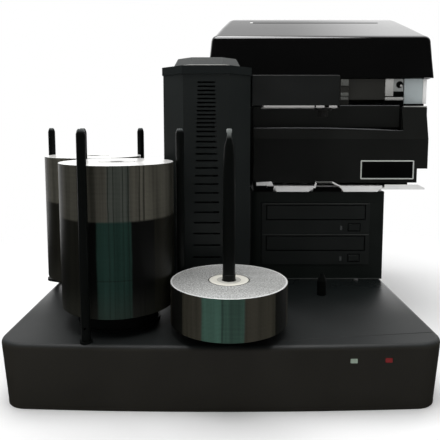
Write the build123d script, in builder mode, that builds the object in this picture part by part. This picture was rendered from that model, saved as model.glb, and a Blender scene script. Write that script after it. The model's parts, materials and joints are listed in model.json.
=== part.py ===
"""Disc publishing system: a base cabinet that carries disc bins, a swinging pick-up tower,
two disc recorders in a drive tower, and a disc printer with a hinged lid.

Millimetres. +Z is up and the front of the machine looks towards -Y. The places below are
measured from the front edge of the deck (the top of the base cabinet) on its middle line.
"""
import os
from math import cos, radians, sin

from build123d import *

os.makedirs("parts", exist_ok=True)

# Disc media
disc_diameter = 120.0
disc_hole = 15.0
disc_thickness = 1.2
full_stack_count = 126
output_stack_count = 35
disc_clearance = 3.3

# Base cabinet
base_width = 442.0
base_depth = 520.0
base_height = 65.0
base_draft = 5.0
base_corner = 28.0
base_edge = 5.0
base_bow = 7.0
base_wall = 3.0
foot_height = 3.0
foot_radius = 11.0
foot_inset = 45.0
pan_thickness = 1.5
boss_radius = 5.5
boss_inset = 22.0

# Fasteners and fits
screw_radius = 1.5
screw_head_radius = 3.0
screw_head_height = 1.8
screw_length = 9.0
running_gap = 0.05
seat_gap = 0.1
panel_gap = 0.3
moving_gap = 0.5

# Tower and pick-up arm
tower_x = -17.1
tower_y = 189.4
tower_half = 53.0
tower_chamfer = 25.8
tower_top = 270.0
tower_wall = 2.5
rim_overhang = 1.2
rim_height = 9.4
cap_half = 42.0
cap_step = 1.2
cap_height = 11.6
cap_slope = 5.5
arm_reach = 147.0
arm_rest_angle = 0.0
arm_length = 108.7
arm_width = 42.0
arm_bottom = 232.0
arm_height = 39.6
arm_wall = 2.0
arm_plate_thickness = 2.5
arm_travel = 200.0
neck_width = 26.0
gripper_drop = 11.0
gripper_radius = 6.5

# Stations on the circle that the pick-up head follows
output_angle = -80.1
front_bin_angle = -129.7
back_bin_angle = -180.8
drop_angle = -14.0

# Bins and spindles
post_radius = 4.5
post_foot_radius = 6.2
post_foot_height = 2.0
post_top = 206.7
platform_top = 20.4
platform_radius = 42.0
platform_flange = 2.0
ear_radius = 11.0
ear_thickness = 3.0
first_post_angle = -107.3
outer_post_angle = 156.5
output_seat = 10.2
spindle_base_radius = 28.0
spindle_foot_radius = 6.8
spindle_radius = 6.4
spindle_straight_top = 110.0
spindle_tip = 2.2
drop_post_radius = 5.8
drop_post_height = 26.8

# Drive tower and its two recorders
drive_left = 38.0
drive_right = 221.0
drive_face = 220.0
drive_depth = 270.0
drive_top = 121.0
drive_wall = 2.0
drive_corner = 12.0
bezel_left = 55.7
bezel_width = 146.5
bezel_height = 42.5
bezel_bottom = 20.7
bezel_thickness = 6.0
drive_body_depth = 190.0
tray_door_height = 18.5
tray_door_width = 133.0
button_width = 14.0
button_height = 8.0
button_travel = 1.5
lamp_width = 3.0

# Printer
printer_left = 0.0
printer_right = 290.0
body_foot_right = 265.0
chin_face = 222.0
chin_left = 44.0
chin_right = 279.0
chin_foot_right = 265.0
chin_step = 152.0
chin_shelf = 203.0
flap_right = 243.0
body_face = 256.0
printer_rear = 520.0
printer_foot = 133.0
body_top = 235.0
cover_wall = 2.5
plate_thickness = 2.0
frame_thickness = 2.0
bracket_width = 28.0
roll_radius = 24.0
roll_left = 30.0
roll_right = 243.0
roll_height = 268.0
frame_top = roll_height + 7.5
supply_y = 300.0
takeup_y = 430.0
journal_radius = 5.0

# Printer tray
print_tray_left = 62.0
print_lip_left = 71.2
print_tray_right = 216.0
print_tray_front = 216.0
print_tray_depth = 140.0
print_tray_thickness = 2.5
print_lip_drop = 5.0
notch_foot = (125.5, 162.0)
notch_head = (127.0, 150.0)
notch_depth = 16.0
notch_rise = 6.2
notch_rim = 1.8
lip_slopes = (3.8, 9.4, 4.8, 5.0)

# Printer lid
lid_left = -19.0
lid_right = 299.0
lid_bottom = frame_top + 0.5
lid_shoulder = lid_bottom + 57.0
lid_top = lid_shoulder + 42.0
lid_rear = 525.0
lid_draft = 5.5
lid_inset = 33.5
lid_front_slope = 90.0
lid_rear_slope = 45.0
lid_wall = 3.0
lid_rounding = 5.0
lid_corner = 8.0
hinge_y = 510.0
hinge_z = lid_bottom + 7.0
hinge_radius = 3.0


def around(angle, reach=arm_reach):
    """Place on a circle about the tower's axis."""
    return (tower_x + reach * cos(radians(angle)), tower_y + reach * sin(radians(angle)))


output_x, output_y = around(output_angle)
front_bin_x, front_bin_y = around(front_bin_angle)
back_bin_x, back_bin_y = around(back_bin_angle)
drop_x, drop_y = around(drop_angle)
disc_radius = disc_diameter / 2
post_circle = disc_radius + disc_clearance + post_radius
outer_post_x = back_bin_x + post_circle * cos(radians(outer_post_angle))
outer_post_y = back_bin_y + post_circle * sin(radians(outer_post_angle))

# The origin lies on the floor under the middle of the whole machine
deck_z = base_height + foot_height
left_reach = outer_post_x - ear_radius
mid_x = -(left_reach + lid_right) / 2
front_y = -(output_y - disc_radius + lid_rear) / 2


def level(z, x=0.0, y=0.0):
    """Flat plane at a height above the deck."""
    return Plane(origin=(mid_x + x, front_y + y, deck_z + z))


def upright(y, x=0.0, z=0.0):
    """Standing plane that looks to the front: across is to the right, then up."""
    return Plane(origin=(mid_x + x, front_y + y, deck_z + z), x_dir=(1, 0, 0), z_dir=(0, -1, 0))


def sideways(x, y=0.0, z=0.0):
    """Standing plane that looks to the right: across is to the rear, then up."""
    return Plane(origin=(mid_x + x, front_y + y, deck_z + z), x_dir=(0, 1, 0), z_dir=(1, 0, 0))


def arm_level(z):
    """Flat plane in the tower's own frame: across is along the arm."""
    turn = radians(arm_rest_angle)
    centre = (mid_x + tower_x, front_y + tower_y, deck_z + z)
    return Plane(origin=centre, x_dir=(cos(turn), sin(turn), 0), z_dir=(0, 0, 1))


def block(x, y, z, mode=Mode.ADD, plane=level):
    """Straight block between pairs of limits, added to the part that is being built."""
    with BuildSketch(plane(z[0])) as foot:
        with Locations(((x[0] + x[1]) / 2, (y[0] + y[1]) / 2)):
            Rectangle(x[1] - x[0], y[1] - y[0])
    extrude(foot.sketch, amount=z[1] - z[0], mode=mode)


def drum(places, radius, z, mode=Mode.ADD, plane=level):
    """Upright round bars of one radius at each place."""
    with BuildSketch(plane(z[0])) as foot:
        with Locations(*places):
            Circle(radius)
    extrude(foot.sketch, amount=z[1] - z[0], mode=mode)


def axle(places, radius, x, mode=Mode.ADD):
    """Round bars along X at (back, up) places."""
    with BuildSketch(sideways(x[0])) as foot:
        with Locations(*places):
            Circle(radius)
    extrude(foot.sketch, amount=x[1] - x[0], mode=mode)


def save(built, name):
    """Label a finished piece and write its file."""
    built.part.label = name
    export_step(built.part, f"parts/{name}.step")


def cabinet_outline(inset=0.0):
    """Plan of the base cabinet: a bowed front and round corners."""
    half = base_width / 2 - inset
    back = base_depth - inset
    with BuildSketch() as plan:
        with BuildLine():
            ThreePointArc((-half, base_bow + inset), (0, inset), (half, base_bow + inset))
            Polyline((half, base_bow + inset), (half, back), (-half, back), (-half, base_bow + inset))
        make_face()
        fillet(plan.vertices(), base_corner - inset)
    return plan.sketch


def octagon(half, cut):
    """Square with its corners cut off."""
    with BuildSketch() as plan:
        Rectangle(2 * half, 2 * half)
        chamfer(plan.vertices(), cut)
    return plan.sketch


# Base cabinet
draft_angle = 4.4
deck_under = -base_wall
pan_bottom = -base_height
pan_top = pan_bottom + pan_thickness
boss_rows = (60.0, base_depth / 2, base_depth - 50.0)
boss_places = [(side * (base_width / 2 - boss_inset), y) for side in (-1, 1) for y in boss_rows]
bush_outer = 26.0
hub_radius = 22.0
bush_depth = 20.0
lamp_height = -15.5
status_x = 128.0
power_x = 162.0
led_width = 7.2
led_height = 5.0
inlet_x = 150.0
inlet_z = -34.0
inlet_width = 48.0
inlet_height = 27.0
inlet_depth = 26.0
inlet_rear = base_depth - 0.5
vent_x = -120.0
vent_length = 34.0
deck_screw = (184.0, 213.0)
vent_count = 10
vent_pitch = 9.0

with BuildPart() as base_shell:
    with BuildSketch(level(0)):
        add(cabinet_outline())
    extrude(amount=-base_height, taper=draft_angle)
    fillet(base_shell.edges().group_by(Axis.Z)[-1], base_edge)
    with BuildSketch(level(deck_under)):
        add(cabinet_outline(base_wall))
    extrude(amount=-base_height, taper=draft_angle, mode=Mode.SUBTRACT)
    drum(boss_places, boss_radius, (pan_top, deck_under))
    drum(boss_places, screw_radius + seat_gap, (pan_top, pan_top + screw_length), Mode.SUBTRACT)
    drum([(tower_x, tower_y)], bush_outer + 6, (-bush_depth, deck_under))
    drum([(tower_x, tower_y)], bush_outer + seat_gap, (-bush_depth, 0), Mode.SUBTRACT)
    drum([deck_screw], screw_radius + seat_gap, (deck_under, 0), Mode.SUBTRACT)
    for led_x in (status_x, power_x):
        block(
            (led_x - led_width / 2, led_x + led_width / 2),
            (0, 20),
            (lamp_height - led_height / 2, lamp_height + led_height / 2),
            Mode.SUBTRACT,
        )
    block(
        (inlet_x - inlet_width / 2, inlet_x + inlet_width / 2),
        (base_depth - 20, base_depth),
        (inlet_z - inlet_height / 2, inlet_z + inlet_height / 2),
        Mode.SUBTRACT,
    )
    with BuildSketch(upright(base_depth, vent_x, inlet_z)) as vents:
        with GridLocations(vent_pitch, 0, vent_count, 1):
            SlotOverall(vent_length, 4, rotation=90)
    extrude(vents.sketch, amount=20, mode=Mode.SUBTRACT)
save(base_shell, "base_shell")

with BuildPart() as base_pan:
    with BuildSketch(level(pan_bottom)):
        add(cabinet_outline(base_wall + base_draft + moving_gap))
        with Locations(*boss_places):
            Circle(screw_radius + seat_gap, mode=Mode.SUBTRACT)
    extrude(amount=pan_thickness)
save(base_pan, "base_pan")

with BuildPart() as rubber_feet:
    foot_places = [
        (side * (base_width / 2 - foot_inset), y) for side in (-1, 1) for y in (foot_inset, base_depth - foot_inset)
    ]
    drum(foot_places, foot_radius, (pan_bottom - foot_height, pan_bottom))
    chamfer(rubber_feet.edges().group_by(Axis.Z)[0], 1)
save(rubber_feet, "rubber_feet")

with BuildPart() as case_screws:
    drum(boss_places, screw_head_radius, (pan_bottom - screw_head_height, pan_bottom))
    drum(boss_places, screw_radius, (pan_bottom, pan_bottom + screw_length))
    drum([deck_screw], screw_head_radius, (0, screw_head_height))
    drum([deck_screw], screw_radius, (-screw_length, 0))
save(case_screws, "case_screws")


def front_skin(x, z):
    """How far back the cabinet's front lies at a place, with its bow and its draft."""
    bow = base_bow * (x / (base_width / 2)) ** 2
    return bow - z * base_draft / base_height


for led_name, led_x in (("status_led_lens", status_x), ("power_led_lens", power_x)):
    with BuildPart() as lens:
        lens_front = front_skin(led_x, lamp_height) + 0.4
        block(
            (led_x - led_width / 2 + seat_gap, led_x + led_width / 2 - seat_gap),
            (lens_front, lens_front + 8),
            (lamp_height - led_height / 2 + seat_gap, lamp_height + led_height / 2 - seat_gap),
        )
        fillet(lens.edges().filter_by(Axis.Y), 0.8)
    save(lens, led_name)

supply_size = (92.0, 108.0, 40.0)
supply_side_gap = 39.0
supply_rear_gap = 7.5
supply_left = base_width / 2 - supply_side_gap - supply_size[0]
supply_front = inlet_rear - inlet_depth - supply_rear_gap - supply_size[1]
with BuildPart() as power_supply:
    block(
        (supply_left, supply_left + supply_size[0]),
        (supply_front, supply_front + supply_size[1]),
        (pan_top, pan_top + supply_size[2]),
    )
    fillet(power_supply.edges().filter_by(Axis.Z), 2)
    with BuildSketch(level(pan_top + supply_size[2], supply_left + supply_size[0] / 2, supply_front + supply_size[1] / 2)) as fins:
        with GridLocations(8, 0, 9, 1):
            SlotOverall(80, 3, rotation=90)
    extrude(fins.sketch, amount=-2, mode=Mode.SUBTRACT)
save(power_supply, "power_supply")

with BuildPart() as power_inlet:
    block(
        (inlet_x - inlet_width / 2 + seat_gap, inlet_x + inlet_width / 2 - seat_gap),
        (inlet_rear - inlet_depth, inlet_rear),
        (inlet_z - inlet_height / 2 + seat_gap, inlet_z + inlet_height / 2 - seat_gap),
    )
    block((inlet_x - 12, inlet_x + 12), (inlet_rear - 18, inlet_rear), (inlet_z - 8, inlet_z + 8), Mode.SUBTRACT)
    for pin_x, pin_z in ((-7, -2), (0, 3), (7, -2)):
        block(
            (inlet_x + pin_x - 1, inlet_x + pin_x + 1),
            (inlet_rear - 18, inlet_rear - 4),
            (inlet_z + pin_z - 2, inlet_z + pin_z + 2),
        )
save(power_inlet, "power_inlet")

board_side_gap = 36.0
board_rear_gap = 80.0
board_left = board_side_gap - base_width / 2
board_width = 120.0
board_length = 140.0
board_front = base_depth - board_rear_gap - board_length
board_rise = 6.0
with BuildPart() as control_board:
    board_top = pan_top + board_rise + 1.6
    block(
        (board_left, board_left + board_width),
        (board_front, board_front + board_length),
        (pan_top + board_rise, board_top),
    )
    stand_offs = [
        (board_left + board_width * a, board_front + board_length * b) for a in (0.06, 0.94) for b in (0.06, 0.94)
    ]
    drum(stand_offs, 3, (pan_top, pan_top + board_rise))
    for chip_x, chip_y, chip_size in ((30, 40, 22), (70, 90, 28), (90, 30, 14)):
        block(
            (board_left + chip_x, board_left + chip_x + chip_size),
            (board_front + chip_y, board_front + chip_y + chip_size),
            (board_top, board_top + 2.5),
        )
    block((board_left + 4, board_left + 16), (board_front + 30, board_front + 100), (board_top, board_top + 11))
save(control_board, "control_board")

# Swivel drive under the deck
flange_thickness = 1.0
turntable_thickness = 5.0
turntable_under = flange_thickness + panel_gap
turntable_top = turntable_under + turntable_thickness
hub_bottom = -24.0
hub_bore = 15.0
swivel_pulley_radius = 45.0
motor_pulley_radius = 12.0
pulley_height = 10.0
belt_thickness = 1.5
belt_gap = 0.3
motor_size = 42.0
motor_distance = 82.0
motor_top = -40.0
motor_y = tower_y + motor_distance
shaft_radius = 2.5

with BuildPart() as swivel_bush:
    drum([(tower_x, tower_y)], bush_outer + 6, (0, flange_thickness))
    drum([(tower_x, tower_y)], bush_outer, (-bush_depth, 0))
    drum([(tower_x, tower_y)], hub_radius + running_gap, (-bush_depth, flange_thickness), Mode.SUBTRACT)
save(swivel_bush, "swivel_bush")

with BuildPart() as swivel_motor:
    half = motor_size / 2
    block((tower_x - half, tower_x + half), (motor_y - half, motor_y + half), (pan_top, motor_top))
    chamfer(swivel_motor.edges().filter_by(Axis.Z), 4)
    drum([(tower_x, motor_y)], 11, (motor_top, motor_top + 2))
    drum([(tower_x, motor_y)], shaft_radius + running_gap, (motor_top - 14, motor_top + 2), Mode.SUBTRACT)
save(swivel_motor, "swivel_motor")

with BuildPart() as motor_pulley:
    drum([(tower_x, motor_y)], motor_pulley_radius, (hub_bottom - pulley_height, hub_bottom))
    drum([(tower_x, motor_y)], shaft_radius, (motor_top - 13, hub_bottom - pulley_height))
    chamfer(motor_pulley.edges().group_by(Axis.Z)[-1], 0.8)
save(motor_pulley, "motor_pulley")


def belt_loop(slack):
    """Outline of the belt's inside or outside round both pulleys."""
    with BuildSketch() as loop:
        Circle(swivel_pulley_radius + slack)
        with Locations((0, motor_distance)):
            Circle(motor_pulley_radius + slack)
        make_hull()
    return loop.sketch


with BuildPart() as swivel_belt:
    with BuildSketch(level(hub_bottom - pulley_height + 1, tower_x, tower_y)):
        add(belt_loop(belt_gap + belt_thickness))
        add(belt_loop(belt_gap), mode=Mode.SUBTRACT)
    extrude(amount=pulley_height - 2)
save(swivel_belt, "swivel_belt")

with BuildPart() as turntable:
    with BuildSketch(arm_level(turntable_under)):
        add(octagon(tower_half + rim_overhang, tower_chamfer))
    extrude(amount=turntable_thickness)
    drum([(0, 0)], hub_radius, (hub_bottom, turntable_under), plane=arm_level)
    drum([(0, 0)], hub_bore, (hub_bottom, turntable_top), Mode.SUBTRACT, plane=arm_level)
    rod_places = [(12.0, -31.0), (12.0, 31.0)]
    rod_radius = 5.0
    rod_foot = turntable_top - 3
    drum(rod_places, rod_radius + seat_gap, (rod_foot, turntable_top), Mode.SUBTRACT, plane=arm_level)
save(turntable, "turntable")

with BuildPart() as swivel_pulley:
    drum([(0, 0)], swivel_pulley_radius, (hub_bottom - pulley_height, hub_bottom), plane=arm_level)
    drum([(0, 0)], hub_bore, (hub_bottom - pulley_height, hub_bottom), Mode.SUBTRACT, plane=arm_level)
    chamfer(swivel_pulley.edges().filter_by(GeomType.CIRCLE).group_by(Axis.Z)[0], 0.8)
save(swivel_pulley, "swivel_pulley")

# Tower
slot_half_width = neck_width / 2 + 2
slot_foot = arm_bottom - arm_travel + arm_plate_thickness - 3
slot_head = tower_top - 4
louvre_count = 28
louvre_top = 260.1
louvre_pitch = 4.7
louvre_height = 2.0
louvre_widths = (20.0, 37.0)


def louvre_place(row):
    """Height of a louvre: even at the top, then wider and wider apart towards the foot."""
    return louvre_top - louvre_pitch * row - 0.164 * max(0, row - 10) ** 2.19


facet_turn = radians(arm_rest_angle)
tower_centre = (mid_x + tower_x, front_y + tower_y, deck_z)
facet_plane = Plane(
    origin=tower_centre,
    x_dir=(cos(facet_turn), sin(facet_turn), 0),
    z_dir=(sin(facet_turn), -cos(facet_turn), 0),
)

with BuildPart() as tower_shell:
    with BuildSketch(arm_level(turntable_top)):
        add(octagon(tower_half, tower_chamfer))
        inner_cut = tower_chamfer - 0.586 * tower_wall
        add(octagon(tower_half - tower_wall, inner_cut), mode=Mode.SUBTRACT)
    extrude(amount=tower_top - turntable_top)
    block(
        (tower_half - tower_wall - 1, tower_half + 1),
        (-slot_half_width, slot_half_width),
        (slot_foot, slot_head),
        Mode.SUBTRACT,
        arm_level,
    )
    with BuildSketch(facet_plane.offset(tower_half + 1)) as louvres:
        for row in range(louvre_count):
            place = louvre_place(row)
            share = (louvre_top - place) / louvre_top
            with Locations((0, place)):
                Rectangle(louvre_widths[0] + share * (louvre_widths[1] - louvre_widths[0]), louvre_height)
    extrude(louvres.sketch, amount=-(tower_wall + 2), mode=Mode.SUBTRACT)
save(tower_shell, "tower_shell")

screw_place = (12.0, 0.0)
lift_screw_radius = 4.0
boss_drop = 3.0
cap_roof = tower_top + rim_height - 3
rod_head = tower_top + 5
with BuildPart() as tower_cap:
    rim_half = tower_half + rim_overhang
    with BuildSketch(arm_level(tower_top)):
        add(octagon(rim_half, tower_chamfer))
    extrude(amount=rim_height)
    cap_foot = tower_top + rim_height
    cap_cut = cap_half * tower_chamfer / tower_half
    with BuildSketch(arm_level(cap_foot)) as step_plan:
        add(octagon(cap_half, cap_cut))
    extrude(step_plan.sketch, amount=cap_step)
    with BuildSketch(arm_level(cap_foot + cap_step)) as low_plan:
        add(octagon(cap_half - 1, cap_cut))
    with BuildSketch(arm_level(cap_foot + cap_height)) as high_plan:
        add(octagon(cap_half - 1 - cap_slope, cap_cut - cap_slope / 2))
    loft([low_plan.sketch, high_plan.sketch], ruled=True)
    with BuildSketch(arm_level(tower_top)) as hollow:
        add(octagon(tower_half - tower_wall, inner_cut))
    extrude(hollow.sketch, amount=cap_roof - tower_top, mode=Mode.SUBTRACT)
    drum(rod_places + [screw_place], rod_radius + 3, (tower_top - boss_drop, cap_roof), plane=arm_level)
    drum(rod_places, rod_radius + seat_gap, (tower_top - boss_drop, rod_head), Mode.SUBTRACT, arm_level)
    drum([screw_place], lift_screw_radius + running_gap, (tower_top - boss_drop, rod_head), Mode.SUBTRACT, arm_level)
save(tower_cap, "tower_cap")

with BuildPart() as guide_rods:
    drum(rod_places, rod_radius, (rod_foot, rod_head), plane=arm_level)
    chamfer(guide_rods.edges().group_by(Axis.Z)[-1], 0.8)
save(guide_rods, "guide_rods")

lift_motor_height = 24.0
lift_motor_top = turntable_top + lift_motor_height
with BuildPart() as lift_motor:
    block(
        (screw_place[0] - half, screw_place[0] + half),
        (-half, half),
        (turntable_top, lift_motor_top),
        plane=arm_level,
    )
    chamfer(lift_motor.edges().filter_by(Axis.Z), 4)
    screw_foot = lift_motor_top - 8
    drum([screw_place], lift_screw_radius + running_gap, (screw_foot - 0.5, lift_motor_top), Mode.SUBTRACT, arm_level)
save(lift_motor, "lift_motor")

with BuildPart() as lift_screw:
    drum([screw_place], lift_screw_radius, (screw_foot, rod_head - 0.5), plane=arm_level)
save(lift_screw, "lift_screw")

# Pick-up arm
carriage_z = (arm_bottom + 3, tower_top - boss_drop - 2)
carriage_half = 40.0
carriage_front = 28.0
neck_z = (arm_bottom + arm_plate_thickness, arm_bottom + 30)
arm_inner = tower_half + rim_overhang + moving_gap
arm_outer = arm_inner + arm_length
arm_top = arm_bottom + arm_height
half_arm = arm_width / 2
with BuildPart() as arm_carriage:
    block((-4, carriage_front), (-carriage_half, carriage_half), carriage_z, plane=arm_level)
    fillet(arm_carriage.edges().filter_by(Axis.Z), 3)
    block((carriage_front, arm_outer - 14), (-neck_width / 2, neck_width / 2), neck_z, plane=arm_level)
    drum(rod_places, rod_radius + running_gap, carriage_z, Mode.SUBTRACT, arm_level)
    drum([screw_place], lift_screw_radius + running_gap, carriage_z, Mode.SUBTRACT, arm_level)
save(arm_carriage, "arm_carriage")

with BuildPart() as arm_plate:
    block((arm_inner + 14, arm_outer), (-half_arm, half_arm), (arm_bottom, neck_z[0]), plane=arm_level)
    fillet(arm_plate.edges().filter_by(Axis.Z), 2)
save(arm_plate, "arm_plate")

with BuildPart() as arm_cover:
    block((arm_inner, arm_outer), (-half_arm, half_arm), (neck_z[0], arm_top), plane=arm_level)
    fillet(arm_cover.edges().filter_by(Axis.Z), 2)
    fillet(arm_cover.edges().group_by(Axis.Z)[-1], 1)
    block(
        (arm_inner + arm_wall, arm_outer - arm_wall),
        (-half_arm + arm_wall, half_arm - arm_wall),
        (neck_z[0], arm_top - arm_wall),
        Mode.SUBTRACT,
        arm_level,
    )
    block(
        (arm_inner - 1, arm_inner + arm_wall + 1),
        (-neck_width / 2 - panel_gap, neck_width / 2 + panel_gap),
        (neck_z[0], neck_z[1] + panel_gap),
        Mode.SUBTRACT,
        arm_level,
    )
save(arm_cover, "arm_cover")

jaw_half = 2.0
jaw_z = (arm_bottom - 9.5, arm_bottom - 5.5)
jaw_slack = 0.2
jaw_inner = 2.2
with BuildPart() as gripper_body:
    head = [(arm_reach, 0)]
    drum(head, gripper_radius + 4.5, (arm_bottom - 3, arm_bottom), plane=arm_level)
    drum(head, gripper_radius, (arm_bottom - gripper_drop, arm_bottom - 3), plane=arm_level)
    chamfer(gripper_body.edges().group_by(Axis.Z)[0], 1)
    block(
        (arm_reach - gripper_radius - 1, arm_reach + gripper_radius + 1),
        (-jaw_half - jaw_slack, jaw_half + jaw_slack),
        (jaw_z[0] - jaw_slack, jaw_z[1] + jaw_slack),
        Mode.SUBTRACT,
        arm_level,
    )
save(gripper_body, "gripper_body")

for jaw_name, side in (("gripper_jaw_inner", -1), ("gripper_jaw_outer", 1)):
    with BuildPart() as jaw:
        ends = sorted((arm_reach + side * jaw_inner, arm_reach + side * (gripper_radius - 0.5)))
        block(ends, (-jaw_half, jaw_half), jaw_z, plane=arm_level)
        fillet(jaw.edges().filter_by(Axis.Z), 0.6)
    save(jaw, jaw_name)

# Disc bins
flange_radius = platform_radius + platform_flange
locator_radius = disc_hole / 2 - panel_gap
for bin_name, bin_x, bin_y in (
    ("front_bin_platform", front_bin_x, front_bin_y),
    ("back_bin_platform", back_bin_x, back_bin_y),
):
    with BuildPart() as platform:
        drum([(bin_x, bin_y)], flange_radius, (0, ear_thickness))
        drum([(bin_x, bin_y)], platform_radius, (ear_thickness, platform_top))
        chamfer(platform.edges().group_by(Axis.Z)[-1], 1.5)
        drum([(bin_x, bin_y)], locator_radius, (platform_top, platform_top + 5))
        chamfer(platform.edges().group_by(Axis.Z)[-1], 1)
        if bin_name == "back_bin_platform":
            with BuildSketch(level(0)) as ear:
                with BuildLine():
                    Line((bin_x, bin_y), (outer_post_x, outer_post_y))
                trace(line_width=2 * ear_radius)
                with Locations((outer_post_x, outer_post_y)):
                    Circle(ear_radius)
            extrude(ear.sketch, amount=ear_thickness)
    save(platform, bin_name)


def post_place(bin_x, bin_y, angle):
    """Place of a bin post on the circle round its bin."""
    return (bin_x + post_circle * cos(radians(angle)), bin_y + post_circle * sin(radians(angle)))


# The third post of each bin is shared: it stands at the same distance from both
gap_x = back_bin_x - front_bin_x
gap_y = back_bin_y - front_bin_y
gap_length = (gap_x**2 + gap_y**2) ** 0.5
side_step = (post_circle**2 - (gap_length / 2) ** 2) ** 0.5
shared_post = (
    (front_bin_x + back_bin_x) / 2 - side_step * gap_y / gap_length,
    (front_bin_y + back_bin_y) / 2 + side_step * gap_x / gap_length,
)
deck_posts = [
    post_place(front_bin_x, front_bin_y, first_post_angle),
    post_place(front_bin_x, front_bin_y, first_post_angle + 120),
    shared_post,
    post_place(back_bin_x, back_bin_y, outer_post_angle - 120),
]
cross_hole_height = 15.0
with BuildPart() as bin_posts:
    for post_x, post_y, post_foot in [(*place, 0.0) for place in deck_posts] + [
        (outer_post_x, outer_post_y, ear_thickness)
    ]:
        with BuildSketch(upright(post_y, post_x)) as profile:
            with BuildLine():
                Polyline(
                    (0, post_foot),
                    (post_foot_radius, post_foot),
                    (post_foot_radius, post_foot + post_foot_height),
                    (post_radius, post_foot + post_foot_height),
                    (post_radius, post_top - 5),
                    (post_radius - 1, post_top - 1.5),
                    (post_radius - 2, post_top),
                    (0, post_top),
                    close=True,
                )
            make_face()
        revolve(profile.sketch, axis=Axis((mid_x + post_x, front_y + post_y, 0), (0, 0, 1)))
        with Locations(upright(post_y, post_x, cross_hole_height)):
            Hole(1.2, depth=2 * post_radius)
save(bin_posts, "bin_posts")

# Output spindle and drop post
spigot_radius = 4.0
spindle_step = output_seat + output_stack_count * disc_thickness + 6
with BuildPart() as spindle_base:
    drum([(output_x, output_y)], spindle_base_radius, (0, output_seat))
    chamfer(spindle_base.edges().group_by(Axis.Z)[-1], 1.5)
    drum([(output_x, output_y)], spigot_radius + seat_gap, (output_seat - 6, output_seat), Mode.SUBTRACT)
save(spindle_base, "spindle_base")

with BuildPart() as spindle_rod:
    with BuildSketch(upright(output_y, output_x)):
        with BuildLine():
            Polyline(
                (0, output_seat - 5.8),
                (spigot_radius, output_seat - 5.8),
                (spigot_radius, output_seat),
                (spindle_foot_radius, output_seat),
                (spindle_foot_radius, spindle_step),
                (spindle_radius, spindle_step),
                (spindle_radius, spindle_straight_top),
                (spindle_radius - 0.9, 165),
                (spindle_radius - 2.4, 185.4),
                (spindle_radius - 2.9, 194.4),
                (spindle_tip, 201),
                (spindle_tip, post_top),
                (0, post_top),
                close=True,
            )
        make_face()
    revolve(axis=Axis((mid_x + output_x, front_y + output_y, 0), (0, 0, 1)))
save(spindle_rod, "spindle_rod")

with BuildPart() as drop_post:
    with BuildSketch(upright(drop_y, drop_x)):
        with BuildLine():
            Polyline(
                (0, 0),
                (drop_post_radius, 0),
                (drop_post_radius, drop_post_height - 9),
                (2.2, drop_post_height),
                (0, drop_post_height),
                close=True,
            )
        make_face()
    revolve(axis=Axis((mid_x + drop_x, front_y + drop_y, 0), (0, 0, 1)))
save(drop_post, "drop_post")

for stack_name, stack_x, stack_y, seat, count in (
    ("front_disc_stack", front_bin_x, front_bin_y, platform_top, full_stack_count),
    ("back_disc_stack", back_bin_x, back_bin_y, platform_top, full_stack_count),
    ("output_disc_stack", output_x, output_y, output_seat, output_stack_count),
):
    with BuildPart() as stack:
        drum([(stack_x, stack_y)], disc_radius, (seat, seat + count * disc_thickness))
        drum([(stack_x, stack_y)], disc_hole / 2, (seat, seat + count * disc_thickness), Mode.SUBTRACT)
    save(stack, stack_name)

# Drive tower
seat_y = drive_face + 70.0
bezel_right = bezel_left + bezel_width
bezel_proud = 1.0
bezel_front = drive_face - bezel_proud
drive_names = ("lower", "upper")
bezel_feet = [bezel_bottom + row * bezel_height for row in range(len(drive_names))]


def drive_outline(inset=0.0):
    """Plan of the drive tower: the corner beside the turning tower is rounded off."""
    with BuildSketch() as plan:
        with Locations(((drive_left + drive_right) / 2, drive_face + drive_depth / 2)):
            Rectangle(drive_right - drive_left - 2 * inset, drive_depth - 2 * inset)
        near_tower = plan.vertices().group_by(Axis.Y)[0].sort_by(Axis.X)[0]
        fillet(near_tower, drive_corner - inset)
    return plan.sketch


with BuildPart() as drive_tower_shell:
    with BuildSketch(level(0)):
        add(drive_outline())
    extrude(amount=drive_top)
    with BuildSketch(level(0)):
        add(drive_outline(drive_wall))
    extrude(amount=drive_top - drive_wall, mode=Mode.SUBTRACT)
    block(
        (bezel_left - panel_gap, bezel_right + panel_gap),
        (drive_face - 1, drive_face + drive_wall + 1),
        (bezel_bottom - panel_gap, bezel_bottom + 2 * bezel_height + panel_gap),
        Mode.SUBTRACT,
    )
    with BuildSketch(upright(drive_face + drive_depth + 1, (drive_left + drive_right) / 2, 60)) as slots:
        with GridLocations(0, 9, 1, 9):
            SlotOverall(90, 4)
    extrude(slots.sketch, amount=drive_wall + 2, mode=Mode.SUBTRACT)
save(drive_tower_shell, "drive_tower_shell")

rail_thickness = 2.0
rail_depth = drive_body_depth + 4
drive_body_front = bezel_front + bezel_thickness
drive_side = 0.3
rail_faces = (bezel_left + drive_side - seat_gap, bezel_right - drive_side + seat_gap)
with BuildPart() as drive_rails:
    rail_z = (0, bezel_bottom + 2 * bezel_height)
    rail_y = (drive_body_front, drive_body_front + rail_depth)
    block((rail_faces[0] - rail_thickness, rail_faces[0]), rail_y, rail_z)
    block((rail_faces[1], rail_faces[1] + rail_thickness), rail_y, rail_z)
    block((rail_faces[0] - 12, rail_faces[0] - rail_thickness), rail_y, (0, rail_thickness))
    block((rail_faces[1] + rail_thickness, rail_faces[1] + 12), rail_y, (0, rail_thickness))
save(drive_rails, "drive_rails")

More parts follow.
